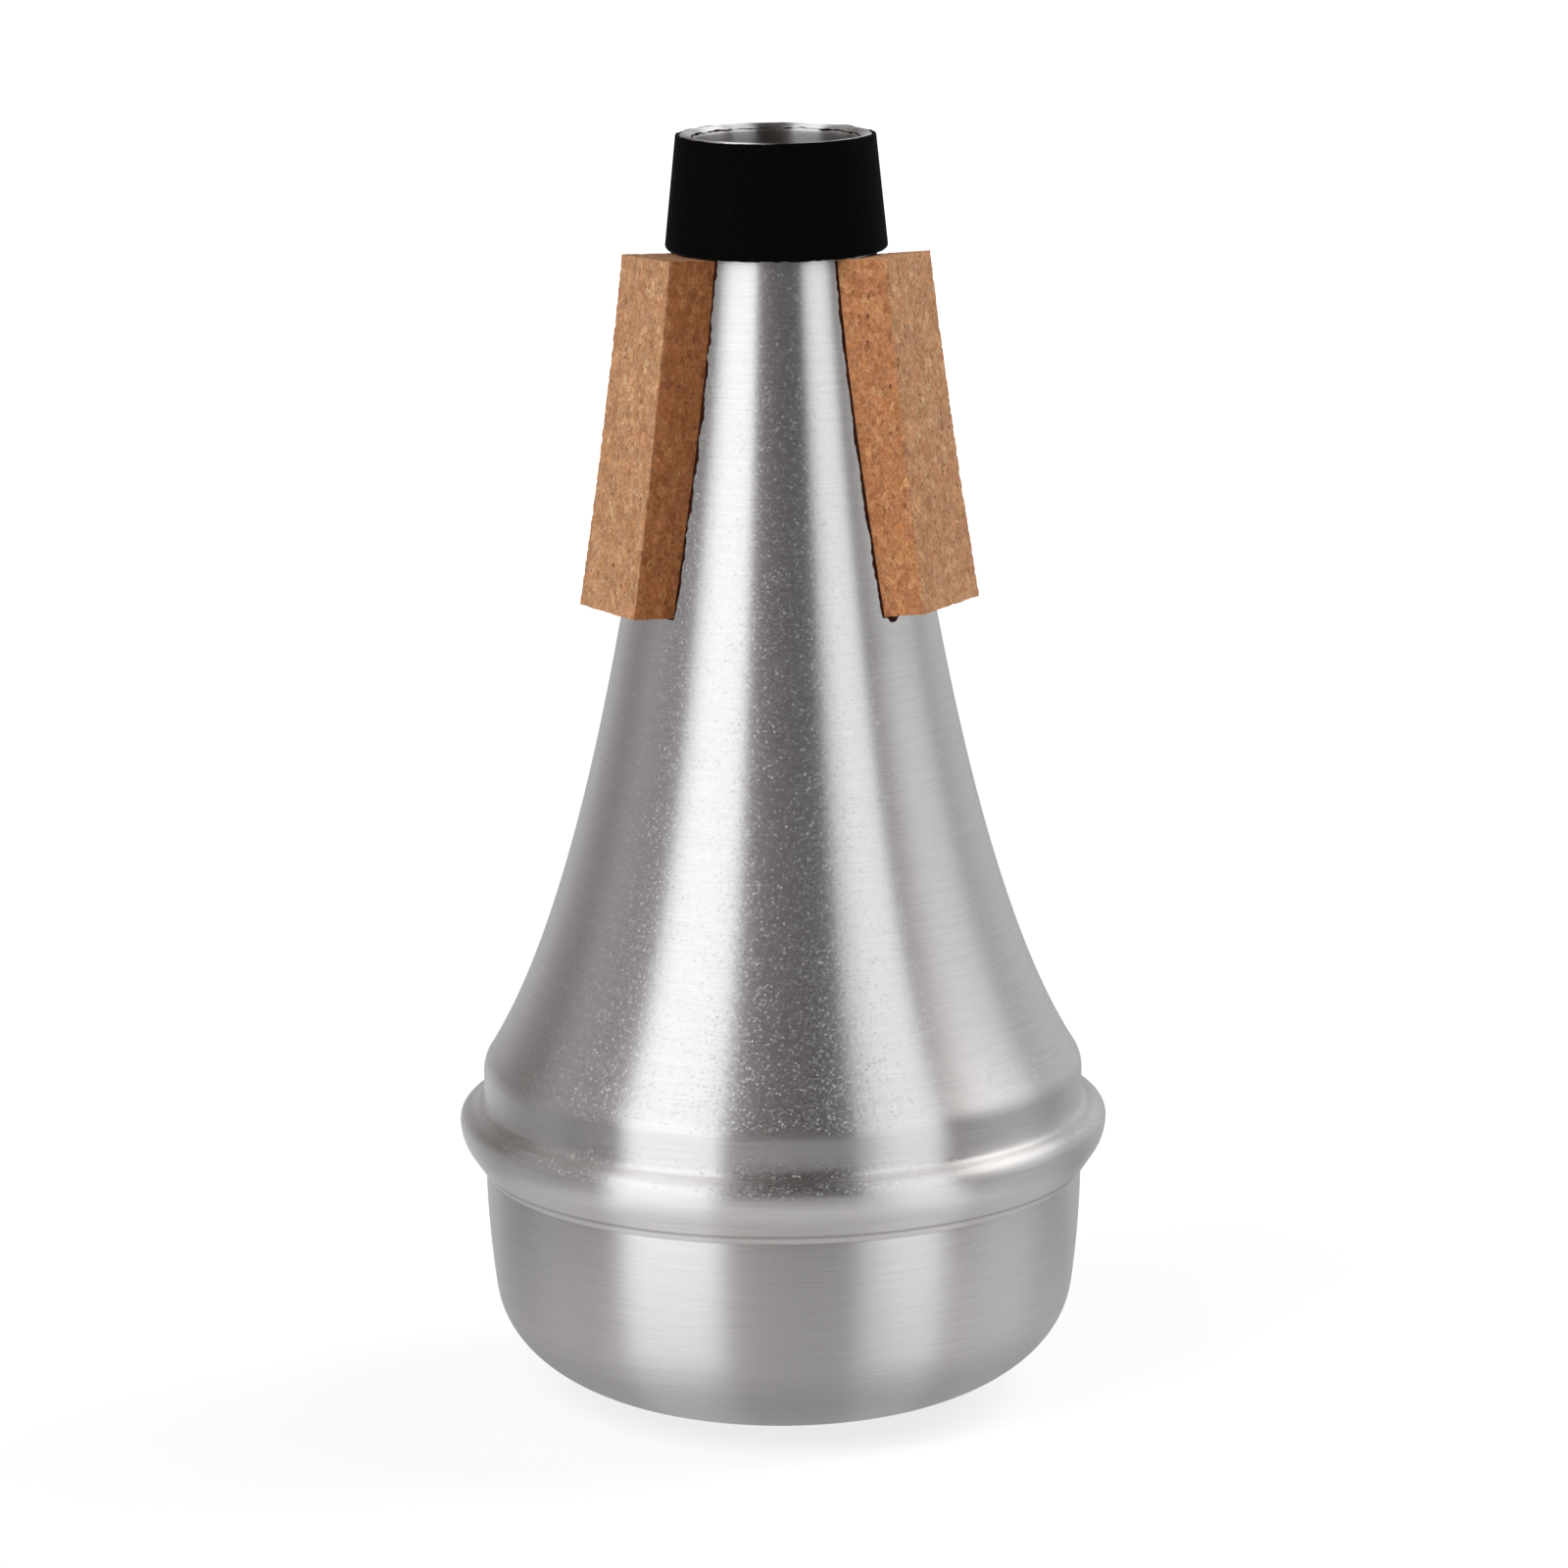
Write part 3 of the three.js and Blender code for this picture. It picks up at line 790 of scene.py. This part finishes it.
tilted = add_node(tree, "VectorMath", {0: tilted}, operation="NORMALIZE").outputs["Vector"]
burrs = add_node(tree, "BsdfPrincipled", {
    "Base Color": tone, "Metallic": 1.0, "Roughness": 0.4, "Normal": tilted})
dot_shade = add_node(tree, "Math", {
    0: dot_tint["X"], 1: DOT_POWER}, operation="POWER").outputs["Value"]
dot = add_node(tree, "MapRange", {
    "Value": dots.outputs["Distance"], "From Min": DOT_CORE, "From Max": DOT_RIM,
    "To Min": BURR_SHARE, "To Max": 0.0}).outputs["Result"]
dot = add_node(tree, "Math", {0: dot, 1: dot_shade}, operation="MULTIPLY").outputs["Value"]
mottle = add_node(tree, "MapRange", {
    "Value": grain, "From Min": MOTTLE_STARTS, "From Max": MOTTLE_FULL, "To Max": MOTTLE_SHARE,
}).outputs["Result"]
spots = add_node(tree, "Math", {0: dot, 1: mottle}, operation="ADD").outputs["Value"]
spots = add_node(tree, "Math", {0: spots, 1: grit}, operation="MULTIPLY").outputs["Value"]
surface = add_node(tree, "MixShader", {
    0: spots, 1: metal.outputs["BSDF"], 2: burrs.outputs["BSDF"]})
add_node(tree, "OutputMaterial", {"Surface": surface.outputs["Shader"]})
for piece in (cone, cup):
    piece.data.materials.append(aluminium)
print("brush lines", BRUSH_WIDTH / MM, "mm wide, burrs", round(BURR_SPACING / MM, 2), "mm apart")

# %% [markdown]
# Moulded rubber
#
# The sleeve is soft black rubber with carbon in it. It is nearly black and has no clear
# highlight, only a faint haze where light grazes it. Fine noise gives the mould's dull texture.

# %% Rubber
DUST_SIZE, DUST_DEPTH = 0.5 * MM, 0.03 * MM

rubber, tree = new_material("moulded_black_rubber")
place = add_node(tree, "TexCoord").outputs["Object"]
dust = add_node(tree, "TexNoise", {
    "Vector": place, "Scale": 1 / DUST_SIZE, "Detail": 3.0}).outputs["Fac"]
tone = ramp(tree, dust, [(0.35, "#040303"), (0.75, "#080606")])
dull = add_node(tree, "Bump", {"Height": dust, "Strength": 0.6, "Distance": DUST_DEPTH})
skin = add_node(tree, "BsdfPrincipled", {
    "Base Color": tone, "Roughness": 0.8, "Specular IOR Level": 0.05,
    "Normal": dull.outputs["Normal"]})
add_node(tree, "OutputMaterial", {"Surface": skin.outputs["BSDF"]})
for piece in (guard, smear):
    piece.data.materials.append(rubber)
print("rubber on", guard.name, "and", smear.name)

# %% [markdown]
# Pressed cork
#
# Agglomerated cork is ground bark pressed together with a binder. Each grain has its own
# brown, the gaps between grains are darker, and small pores show as dark dots. The sanded
# outer face is paler and dusty. The cut sides are redder, and they are darker by painted
# shade that is strongest on the left strip. The pattern is a solid one in object space, so it
# runs round the edges as real grains do.

# %% Cork
GRAIN_WIDTH, FINE_GRAIN_WIDTH, CLOUD_WIDTH, PATCH_WIDTH = 0.8 * MM, 0.38 * MM, 2.2 * MM, 1.5 * MM
UPRIGHT = (1.0, 1.0, 0.8)
WOBBLE_WIDTH, WOBBLE_REACH = 0.35 * MM, 0.9 * MM
# pores: their spacing, their least and greatest radius, the width of their rim, their share
SPECK_SPACING, SPECK_LEAST, SPECK_MOST, SPECK_RIM, SPECK_SHARE = 0.95 * MM, -0.3, 0.32, 0.16, 0.75
NOISE_LOW, NOISE_HIGH = 0.3, 0.7
FINE_SHADE, CLOUD_SHADE = (0.6, 1.32), (0.87, 1.12)
RED_STARTS, RED_FULL, RED_SHARE, REDDER = 0.45, 0.75, 0.8, (1.0, 0.86, 0.74)
CORK_DEPTH = 0.09 * MM

cork, tree = new_material("pressed_cork")
place = add_node(tree, "TexCoord").outputs["Object"]
side = add_node(tree, "Attribute", attribute_name="cut_side_and_shade").outputs["Fac"]
stretched = add_node(tree, "VectorMath", {
    0: place, 1: UPRIGHT}, operation="MULTIPLY").outputs["Vector"]
wobble = add_node(tree, "TexNoise", {
    "Vector": place, "Scale": 1 / WOBBLE_WIDTH, "Detail": 3.0}).outputs["Color"]
wobble = add_node(tree, "VectorMath", {
    0: wobble, 1: MIDDLE_GREY}, operation="SUBTRACT").outputs["Vector"]
wobble = add_node(tree, "VectorMath", {
    0: wobble, "Scale": WOBBLE_REACH}, operation="SCALE").outputs["Vector"]
ragged = add_node(tree, "VectorMath", {0: stretched, 1: wobble}, operation="ADD").outputs["Vector"]
grains = add_node(tree, "TexVoronoi", {"Vector": ragged, "Scale": 1 / GRAIN_WIDTH}, feature="F1")
grain_shade = add_node(tree, "SeparateXYZ", {"Vector": grains.outputs["Color"]})
specks = add_node(tree, "TexVoronoi", {"Vector": ragged, "Scale": 1 / SPECK_SPACING}, feature="F1")
speck_size = add_node(tree, "SeparateXYZ", {"Vector": specks.outputs["Color"]}).outputs["X"]
speck_size = add_node(tree, "MapRange", {
    "Value": speck_size, "To Min": SPECK_LEAST, "To Max": SPECK_MOST}).outputs["Result"]
speck = add_node(tree, "Math", {
    0: speck_size, 1: specks.outputs["Distance"]}, operation="SUBTRACT").outputs["Value"]
speck = add_node(tree, "MapRange", {
    "Value": speck, "From Min": 0.0, "From Max": SPECK_RIM}).outputs["Result"]
fine = add_node(tree, "TexNoise", {
    "Vector": stretched, "Scale": 1 / FINE_GRAIN_WIDTH, "Detail": 3.0,
    "Roughness": 0.68}).outputs["Fac"]
cloud = add_node(tree, "TexNoise", {
    "Vector": place, "Scale": 1 / CLOUD_WIDTH, "Detail": 3.0}).outputs["Fac"]
outer_tone = ramp(tree, grain_shade.outputs["X"], [
    (0.0, "#AC7C5C"), (0.3, "#B58862"), (0.55, "#BE9068"), (0.8, "#B98A6A"), (1.0, "#CBA47B")])
# the side tone is the cut face's redder colour, darkened by painted shade
side_tone_and_shade = ramp(tree, grain_shade.outputs["X"], [
    (0.0, "#A05F37"), (0.3, "#AD6E40"), (0.55, "#B87646"), (0.8, "#B16F47"), (1.0, "#C58854")])
tone = add_node(tree, "Mix", {
    MIX_SHARE: side, MIX_FROM: outer_tone, MIX_TO: side_tone_and_shade}, data_type="RGBA").outputs[MIXED]
shade, cloud_shade = (
    add_node(tree, "MapRange", {
        "Value": pattern, "From Min": NOISE_LOW, "From Max": NOISE_HIGH,
        "To Min": darkest, "To Max": lightest}).outputs["Result"]
    for pattern, (darkest, lightest) in ((fine, FINE_SHADE), (cloud, CLOUD_SHADE))
)
shade = add_node(tree, "Math", {0: shade, 1: cloud_shade}, operation="MULTIPLY").outputs["Value"]
tone = add_node(tree, "VectorMath", {0: tone, "Scale": shade}, operation="SCALE").outputs["Vector"]
patch = add_node(tree, "TexNoise", {
    "Vector": ragged, "Scale": 1 / PATCH_WIDTH, "Detail": 2.0}).outputs["Fac"]
red_share = add_node(tree, "MapRange", {
    "Value": patch, "From Min": RED_STARTS, "From Max": RED_FULL, "To Max": RED_SHARE,
}).outputs["Result"]
redder = add_node(tree, "VectorMath", {0: tone, 1: REDDER}, operation="MULTIPLY").outputs["Vector"]
tone = add_node(tree, "Mix", {
    MIX_SHARE: red_share, MIX_FROM: tone, MIX_TO: redder}, data_type="RGBA").outputs[MIXED]
speck_share = add_node(tree, "Math", {
    0: speck, 1: SPECK_SHARE}, operation="MULTIPLY").outputs["Value"]
tone = add_node(tree, "Mix", {
    MIX_SHARE: speck_share, MIX_FROM: tone, MIX_TO: linear("#63371D"),
}, data_type="RGBA").outputs[MIXED]
relief = add_node(tree, "Math", {0: fine, 1: speck}, operation="SUBTRACT").outputs["Value"]
cork_bump = add_node(tree, "Bump", {"Height": relief, "Strength": 1.0, "Distance": CORK_DEPTH})
bark = add_node(tree, "BsdfPrincipled", {
    "Base Color": tone, "Roughness": 0.9, "Specular IOR Level": 0.2,
    "Normal": cork_bump.outputs["Normal"]})
add_node(tree, "OutputMaterial", {"Surface": bark.outputs["BSDF"]})
for strip in STRIPS.values():
    strip["piece"].data.materials.append(cork)
print("cork grains", round(GRAIN_WIDTH / MM, 2), "mm wide on", len(STRIPS), "strips")

# %% [markdown]
# Dried contact cement
#
# The glue dries to a dark brown rubbery film. It is smoother than the cork, with a weak sheen,
# and collects dust, so its tone varies.

# %% Glue
BLOTCH_WIDTH, LUMP_DEPTH = 1.2 * MM, 0.08 * MM

cement, tree = new_material("dried_contact_cement")
place = add_node(tree, "TexCoord").outputs["Object"]
blotch = add_node(tree, "TexNoise", {
    "Vector": place, "Scale": 1 / BLOTCH_WIDTH, "Detail": 3.0}).outputs["Fac"]
tone = ramp(tree, blotch, [(0.3, "#220D06"), (0.7, "#4A1F0F")])
lumps = add_node(tree, "Bump", {"Height": blotch, "Strength": 0.8, "Distance": LUMP_DEPTH})
film = add_node(tree, "BsdfPrincipled", {
    "Base Color": tone, "Roughness": 0.7, "Specular IOR Level": 0.12,
    "Normal": lumps.outputs["Normal"]})
add_node(tree, "OutputMaterial", {"Surface": film.outputs["BSDF"]})
for strip in STRIPS.values():
    strip["glue"].data.materials.append(cement)
print("glue under", len(STRIPS), "strips, at most", BACK_GAP, "mm thick")

# %% [markdown]
# The studio
#
# The photograph was made on white, and almost no shadow shows. The floor could be lit until it
# is white, but the mute would be too bright then. So the floor glows, and the world is white,
# only for the camera and for reflections. For all other light the world is dim, and the floor
# keeps the soft shadow of the mute. The glow is a little weaker near the mute, or the shadow
# would be lost in it.

# %% Floor and world
FLOOR_RADIUS = 6.0
ROUND_STEPS = 96
FLOOR_GLOW_NEAR, FLOOR_GLOW_FAR = 0.74, 1.0
FLOOR_GLOW_REACH = (0.1, 0.9)
FLOOR_PAINT = "#9A9A9A"
FLOOR_BOUNCE = "#E6E6E6"
WORLD_LEVEL = 0.24


def seen_directly(tree):
    """One for camera, mirror and glass rays, and zero for rays of diffuse light."""
    rays = add_node(tree, "LightPath").outputs
    seen = rays["Is Camera Ray"]
    for other in (rays["Is Glossy Ray"], rays["Is Transmission Ray"]):
        seen = add_node(tree, "Math", {0: seen, 1: other}, operation="MAXIMUM").outputs["Value"]
    return seen


def from_axis(tree, near, far, shift=(0.0, 0.0, 0.0)):
    """Zero up to a distance from the upright axis, and one from a farther distance on."""
    place = add_node(tree, "TexCoord").outputs["Object"]
    level = add_node(tree, "VectorMath", {0: place, 1: (1.0, 1.0, 0.0)}, operation="MULTIPLY")
    moved = add_node(tree, "VectorMath", {
        0: level.outputs["Vector"], 1: shift}, operation="SUBTRACT")
    away = add_node(tree, "VectorMath", {0: moved.outputs["Vector"]}, operation="LENGTH")
    return add_node(tree, "MapRange", {
        "Value": away.outputs["Value"], "From Min": near, "From Max": far,
    }, interpolation_type="SMOOTHSTEP").outputs["Result"]


floor_mesh = bmesh.new()
bmesh.ops.create_circle(floor_mesh, cap_ends=True, segments=ROUND_STEPS, radius=FLOOR_RADIUS)
floor = finished("floor", floor_mesh)
floor_paint, tree = new_material("white_studio_floor")
seen = seen_directly(tree)
paint = add_node(tree, "Mix", {
    MIX_SHARE: seen, MIX_FROM: linear(FLOOR_BOUNCE), MIX_TO: linear(FLOOR_PAINT),
}, data_type="RGBA").outputs[MIXED]
matt = add_node(tree, "BsdfDiffuse", {"Color": paint}).outputs["BSDF"]
glow_level = add_node(tree, "MapRange", {
    "Value": from_axis(tree, *FLOOR_GLOW_REACH),
    "To Min": FLOOR_GLOW_NEAR, "To Max": FLOOR_GLOW_FAR}).outputs["Result"]
glow_level = add_node(tree, "Math", {
    0: seen, 1: glow_level}, operation="MULTIPLY").outputs["Value"]
glow = add_node(tree, "Emission", {"Strength": glow_level}).outputs["Emission"]
both = add_node(tree, "AddShader", {0: matt, 1: glow}).outputs["Shader"]
add_node(tree, "OutputMaterial", {"Surface": both})
floor.data.materials.append(floor_paint)

world = bpy.data.worlds.new("white_studio")
bpy.context.scene.world = world
world.use_nodes = True
tree = world.node_tree
tree.nodes.clear()
level = add_node(tree, "MapRange", {
    "Value": seen_directly(tree), "To Min": WORLD_LEVEL, "To Max": 1.0}).outputs["Result"]
sky = add_node(tree, "Background", {
    "Color": linear("#FFFFFF"), "Strength": level}).outputs["Background"]
add_node(tree, "OutputWorld", {"Surface": sky})
print("floor", FLOOR_RADIUS, "m in radius, world level", WORLD_LEVEL)

# %% [markdown]
# Softboxes for the matt pieces
#
# Cork and rubber show lamps only as light and shade. The left side of each strip is the darker
# one in the photograph, so one softbox stands in front on the left, and a stronger one on the
# right and a little behind. Both are hidden from mirror rays, because the metal gets its bands
# from the cards.

# %% Softboxes for the matt pieces
SOFTBOXES = {
    "left_softbox": {
        "bearing": -50, "elevation": 36, "distance": 1.1, "size": (0.7, 1.0), "power": 9.0},
    "right_softbox": {
        "bearing": 112, "elevation": 34, "distance": 1.2, "size": (0.9, 1.1), "power": 13.0},
}
for name, box in SOFTBOXES.items():
    light = bpy.data.lights.new(name, "AREA")
    light.shape = "RECTANGLE"
    light.size, light.size_y = box["size"]
    light.energy = box["power"]
    lamp = bpy.data.objects.new(name, light)
    level_way = outward(box["bearing"])
    tilt = math.radians(box["elevation"])
    lamp_way = level_way * math.cos(tilt) + Vector((0, 0, math.sin(tilt)))
    lamp.location = CAMERA_TARGET + lamp_way * box["distance"]
    lamp.rotation_mode = "QUATERNION"
    lamp.rotation_quaternion = (CAMERA_TARGET - lamp.location).to_track_quat("-Z", "Y")
    lamp.visible_glossy = False
    bpy.context.collection.objects.link(lamp)
    print(name, [round(v, 2) for v in lamp.location])

# %% [markdown]
# Cards that only reflections see
#
# Bare metal shows what stands round it, so the studio is as much a part of its look as its
# material. Each upright band on the mute belongs to one direction round it. Many small lamps
# and flags could stand there, but two glowing cards with a grey level for each direction are
# simpler to match: a tent overhead for the flare, and a card on the table for the wall, the
# bead and the cup. Rings on the table card are painted shade: the dimmer floor that the
# mute's reflections meet close to its foot.

# %% Cards that only reflections see
TENT_RADIUS = 1.6
CARD_GAIN = 1.4
# the tent is a little warm where it is dark, and all other light of the cards is a little cool
DARK_TINT, BRIGHT_TINT = (1.2, 0.98, 0.94), (0.98, 1.0, 1.02)
TINT_FADES_AT = 0.3
TENT_TONES = [
    (-180, 0.28), (-150, 0.22), (-130, 0.12), (-116, 0.10), (-105, 0.19), (-97, 0.24), (-75, 0.19),
    (-66, 0.18), (-60.5, 0.97), (-50, 0.97), (-24, 0.97), (-20, 0.14), (-12, 0.08), (-5, 0.055),
    (5, 0.03), (10, 0.025), (26, 0.02), (29, 0.62), (42, 0.79), (59, 0.76), (63, 0.10), (70, 0.12),
    (78, 0.27), (90, 0.45), (104, 0.47), (116, 0.30), (135, 0.37), (150, 0.40), (180, 0.34),
]
TABLE_TONES = [
    (-180, 0.46), (-150, 0.48), (-130, 0.38), (-116, 0.29), (-105, 0.25), (-97, 0.24), (-75, 0.15),
    (-60, 0.10), (-52, 0.92), (-46, 0.92), (-24, 0.92), (-20, 0.13), (-12, 0.12), (-5, 0.11),
    (5, 0.10), (10, 0.10), (29, 0.08), (35, 0.50), (42, 0.70), (56, 0.66), (62, 0.12), (70, 0.16),
    (78, 0.17), (90, 0.22), (104, 0.24), (116, 0.22), (135, 0.30), (150, 0.32), (180, 0.31),
]
# where the tent's tones are seen from: a place behind the mute, near the tent's wall
TENT_EYE = 0.977 * TENT_RADIUS
TABLE_HOLE, TABLE_LIFT = 0.02, 0.3 * MM
RING_LETS_THROUGH = 0.13
# the tent is dimmer overhead, from and to these heights in metres
CEILING_LEVEL, CEILING_STARTS, CEILING_FULL = 0.66, 1.36, 1.54
# painted shade: the floor seen in reflections near the mute's foot is dimmer than the card round
# it
PAINTED_SHADE_RINGS = [
    {"tone": 0.53, "reach": (0.065, 0.125), "shift": (0.0, -0.055, 0.0)},
    {"tone": 0.18, "reach": (0.036, 0.068), "shift": (0.0, 0.0, 0.0)},
]


def glow_by_bearing(tree, tones, eye, dark_tint):
    """A grey level from each point's bearing about the axis, or from twice its bearing as seen
    from a place behind the mute.
    """
    place = add_node(tree, "TexCoord").outputs["Object"]
    split = add_node(tree, "SeparateXYZ", {"Vector": place})
    to_viewer = add_node(tree, "Math", {
        0: eye, 1: split.outputs["Y"]}, operation="SUBTRACT").outputs["Value"]
    bearing = add_node(tree, "Math", {
        0: split.outputs["X"], 1: to_viewer}, operation="ARCTAN2").outputs["Value"]
    if eye:
        bearing = add_node(tree, "Math", {
            0: bearing, 1: 2.0}, operation="MULTIPLY").outputs["Value"]
    share = add_node(tree, "MapRange", {
        "Value": bearing, "From Min": -math.pi, "From Max": math.pi}).outputs["Result"]
    made = add_node(tree, "ValToRGB", {"Fac": share})
    made.color_ramp.interpolation = "EASE"
    elements = made.color_ramp.elements
    while len(elements) < len(tones):
        elements.new(0.5)
    for element, (degrees, tone) in zip(elements, tones):
        element.position = (degrees + 180) / 360
        tint = Vector(dark_tint).lerp(Vector(BRIGHT_TINT), min(tone / TINT_FADES_AT, 1.0))
        element.color = (*(tone * tint), 1.0)
    return made.outputs["Color"]


def only_in_reflections(piece):
    """Makes a stage piece that only mirror rays meet."""
    piece.visible_camera = False
    piece.visible_diffuse = False
    piece.visible_shadow = False
    piece.visible_transmission = False


def card(name, mesh_data, tones, eye, dark_tint, rings):
    """A glowing card round the mute, whose tone changes in rings about the axis."""
    piece = finished(name, mesh_data)
    only_in_reflections(piece)
    cloth, tree = new_material(name + "_cloth")
    tone = glow_by_bearing(tree, tones, eye, dark_tint)
    for ring in rings:
        share = from_axis(tree, *ring["reach"], ring["shift"])
        share = add_node(tree, "MapRange", {
            "Value": share, "To Min": RING_LETS_THROUGH}).outputs["Result"]
        ring_tone = (ring["tone"], ring["tone"], ring["tone"], 1.0)
        tone = add_node(tree, "Mix", {
            MIX_SHARE: share, MIX_FROM: ring_tone, MIX_TO: tone}, data_type="RGBA").outputs[MIXED]
    place = add_node(tree, "TexCoord").outputs["Object"]
    height = add_node(tree, "SeparateXYZ", {"Vector": place}).outputs["Z"]
    level = add_node(tree, "MapRange", {
        "Value": height, "From Min": CEILING_STARTS, "From Max": CEILING_FULL,
        "To Min": CARD_GAIN, "To Max": CARD_GAIN * CEILING_LEVEL,
    }, interpolation_type="SMOOTHSTEP").outputs["Result"]
    glow = add_node(tree, "Emission", {"Color": tone, "Strength": level}).outputs["Emission"]
    add_node(tree, "OutputMaterial", {"Surface": glow})
    piece.data.materials.append(cloth)
    print(name, "has", len(tones), "tones and", len(rings), "rings")


tent_mesh = bmesh.new()
bmesh.ops.create_uvsphere(
    tent_mesh, u_segments=ROUND_STEPS, v_segments=ROUND_STEPS // 2, radius=TENT_RADIUS
)
below = [f for f in tent_mesh.faces if f.calc_center_median().z < 0]
bmesh.ops.delete(tent_mesh, geom=below, context="FACES")
card("grey_tent", tent_mesh, TENT_TONES, TENT_EYE, DARK_TINT, [])

table_mesh = bmesh.new()
bmesh.ops.create_circle(table_mesh, segments=ROUND_STEPS, radius=TABLE_HOLE)
rim = bmesh.ops.extrude_edge_only(table_mesh, edges=table_mesh.edges[:])["geom"]
rim = [g for g in rim if isinstance(g, bmesh.types.BMVert)]
bmesh.ops.scale(table_mesh, verts=rim, vec=Vector((1, 1, 0)) * TENT_RADIUS / TABLE_HOLE)
bmesh.ops.translate(table_mesh, verts=table_mesh.verts[:], vec=(0, 0, TABLE_LIFT))
card("table_card", table_mesh, TABLE_TONES, 0.0, BRIGHT_TINT, PAINTED_SHADE_RINGS)

# %% [markdown]
# A softbox behind the right shoulder
#
# On the right of the bead and the shoulder the photograph has bright, soft streaks. They come
# from a lamp that is high up, on the right and a little behind. A glowing plane that only
# reflections see gives them without more light on the cork.

# %% A softbox behind the right shoulder
BACK_BOX = {
    "bearing": 118, "elevation": 44, "distance": 1.4, "width": 1.3, "height": 0.55, "level": 1.8,
}
box_mesh = bmesh.new()
bmesh.ops.create_grid(box_mesh, x_segments=1, y_segments=1, size=0.5)
bmesh.ops.scale(box_mesh, verts=box_mesh.verts[:], vec=(BACK_BOX["width"], BACK_BOX["height"], 1))
tilt = math.radians(BACK_BOX["elevation"])
box_way = outward(BACK_BOX["bearing"]) * math.cos(tilt) + Vector((0, 0, math.sin(tilt)))
turn = (-box_way).to_track_quat("Z", "Y").to_matrix()
bmesh.ops.transform(box_mesh, matrix=turn.to_4x4(), verts=box_mesh.verts[:])
box_place = CAMERA_TARGET + box_way * BACK_BOX["distance"]
bmesh.ops.translate(box_mesh, verts=box_mesh.verts[:], vec=box_place)
back_box = finished("back_softbox", box_mesh)
only_in_reflections(back_box)
silk, tree = new_material("softbox_silk")
glow = add_node(tree, "Emission", {"Strength": BACK_BOX["level"]}).outputs["Emission"]
add_node(tree, "OutputMaterial", {"Surface": glow})
back_box.data.materials.append(silk)

# %% [markdown]
# View
#
# The colours go to the picture without a film curve.

# %% View
bpy.context.scene.view_settings.view_transform = "Standard"
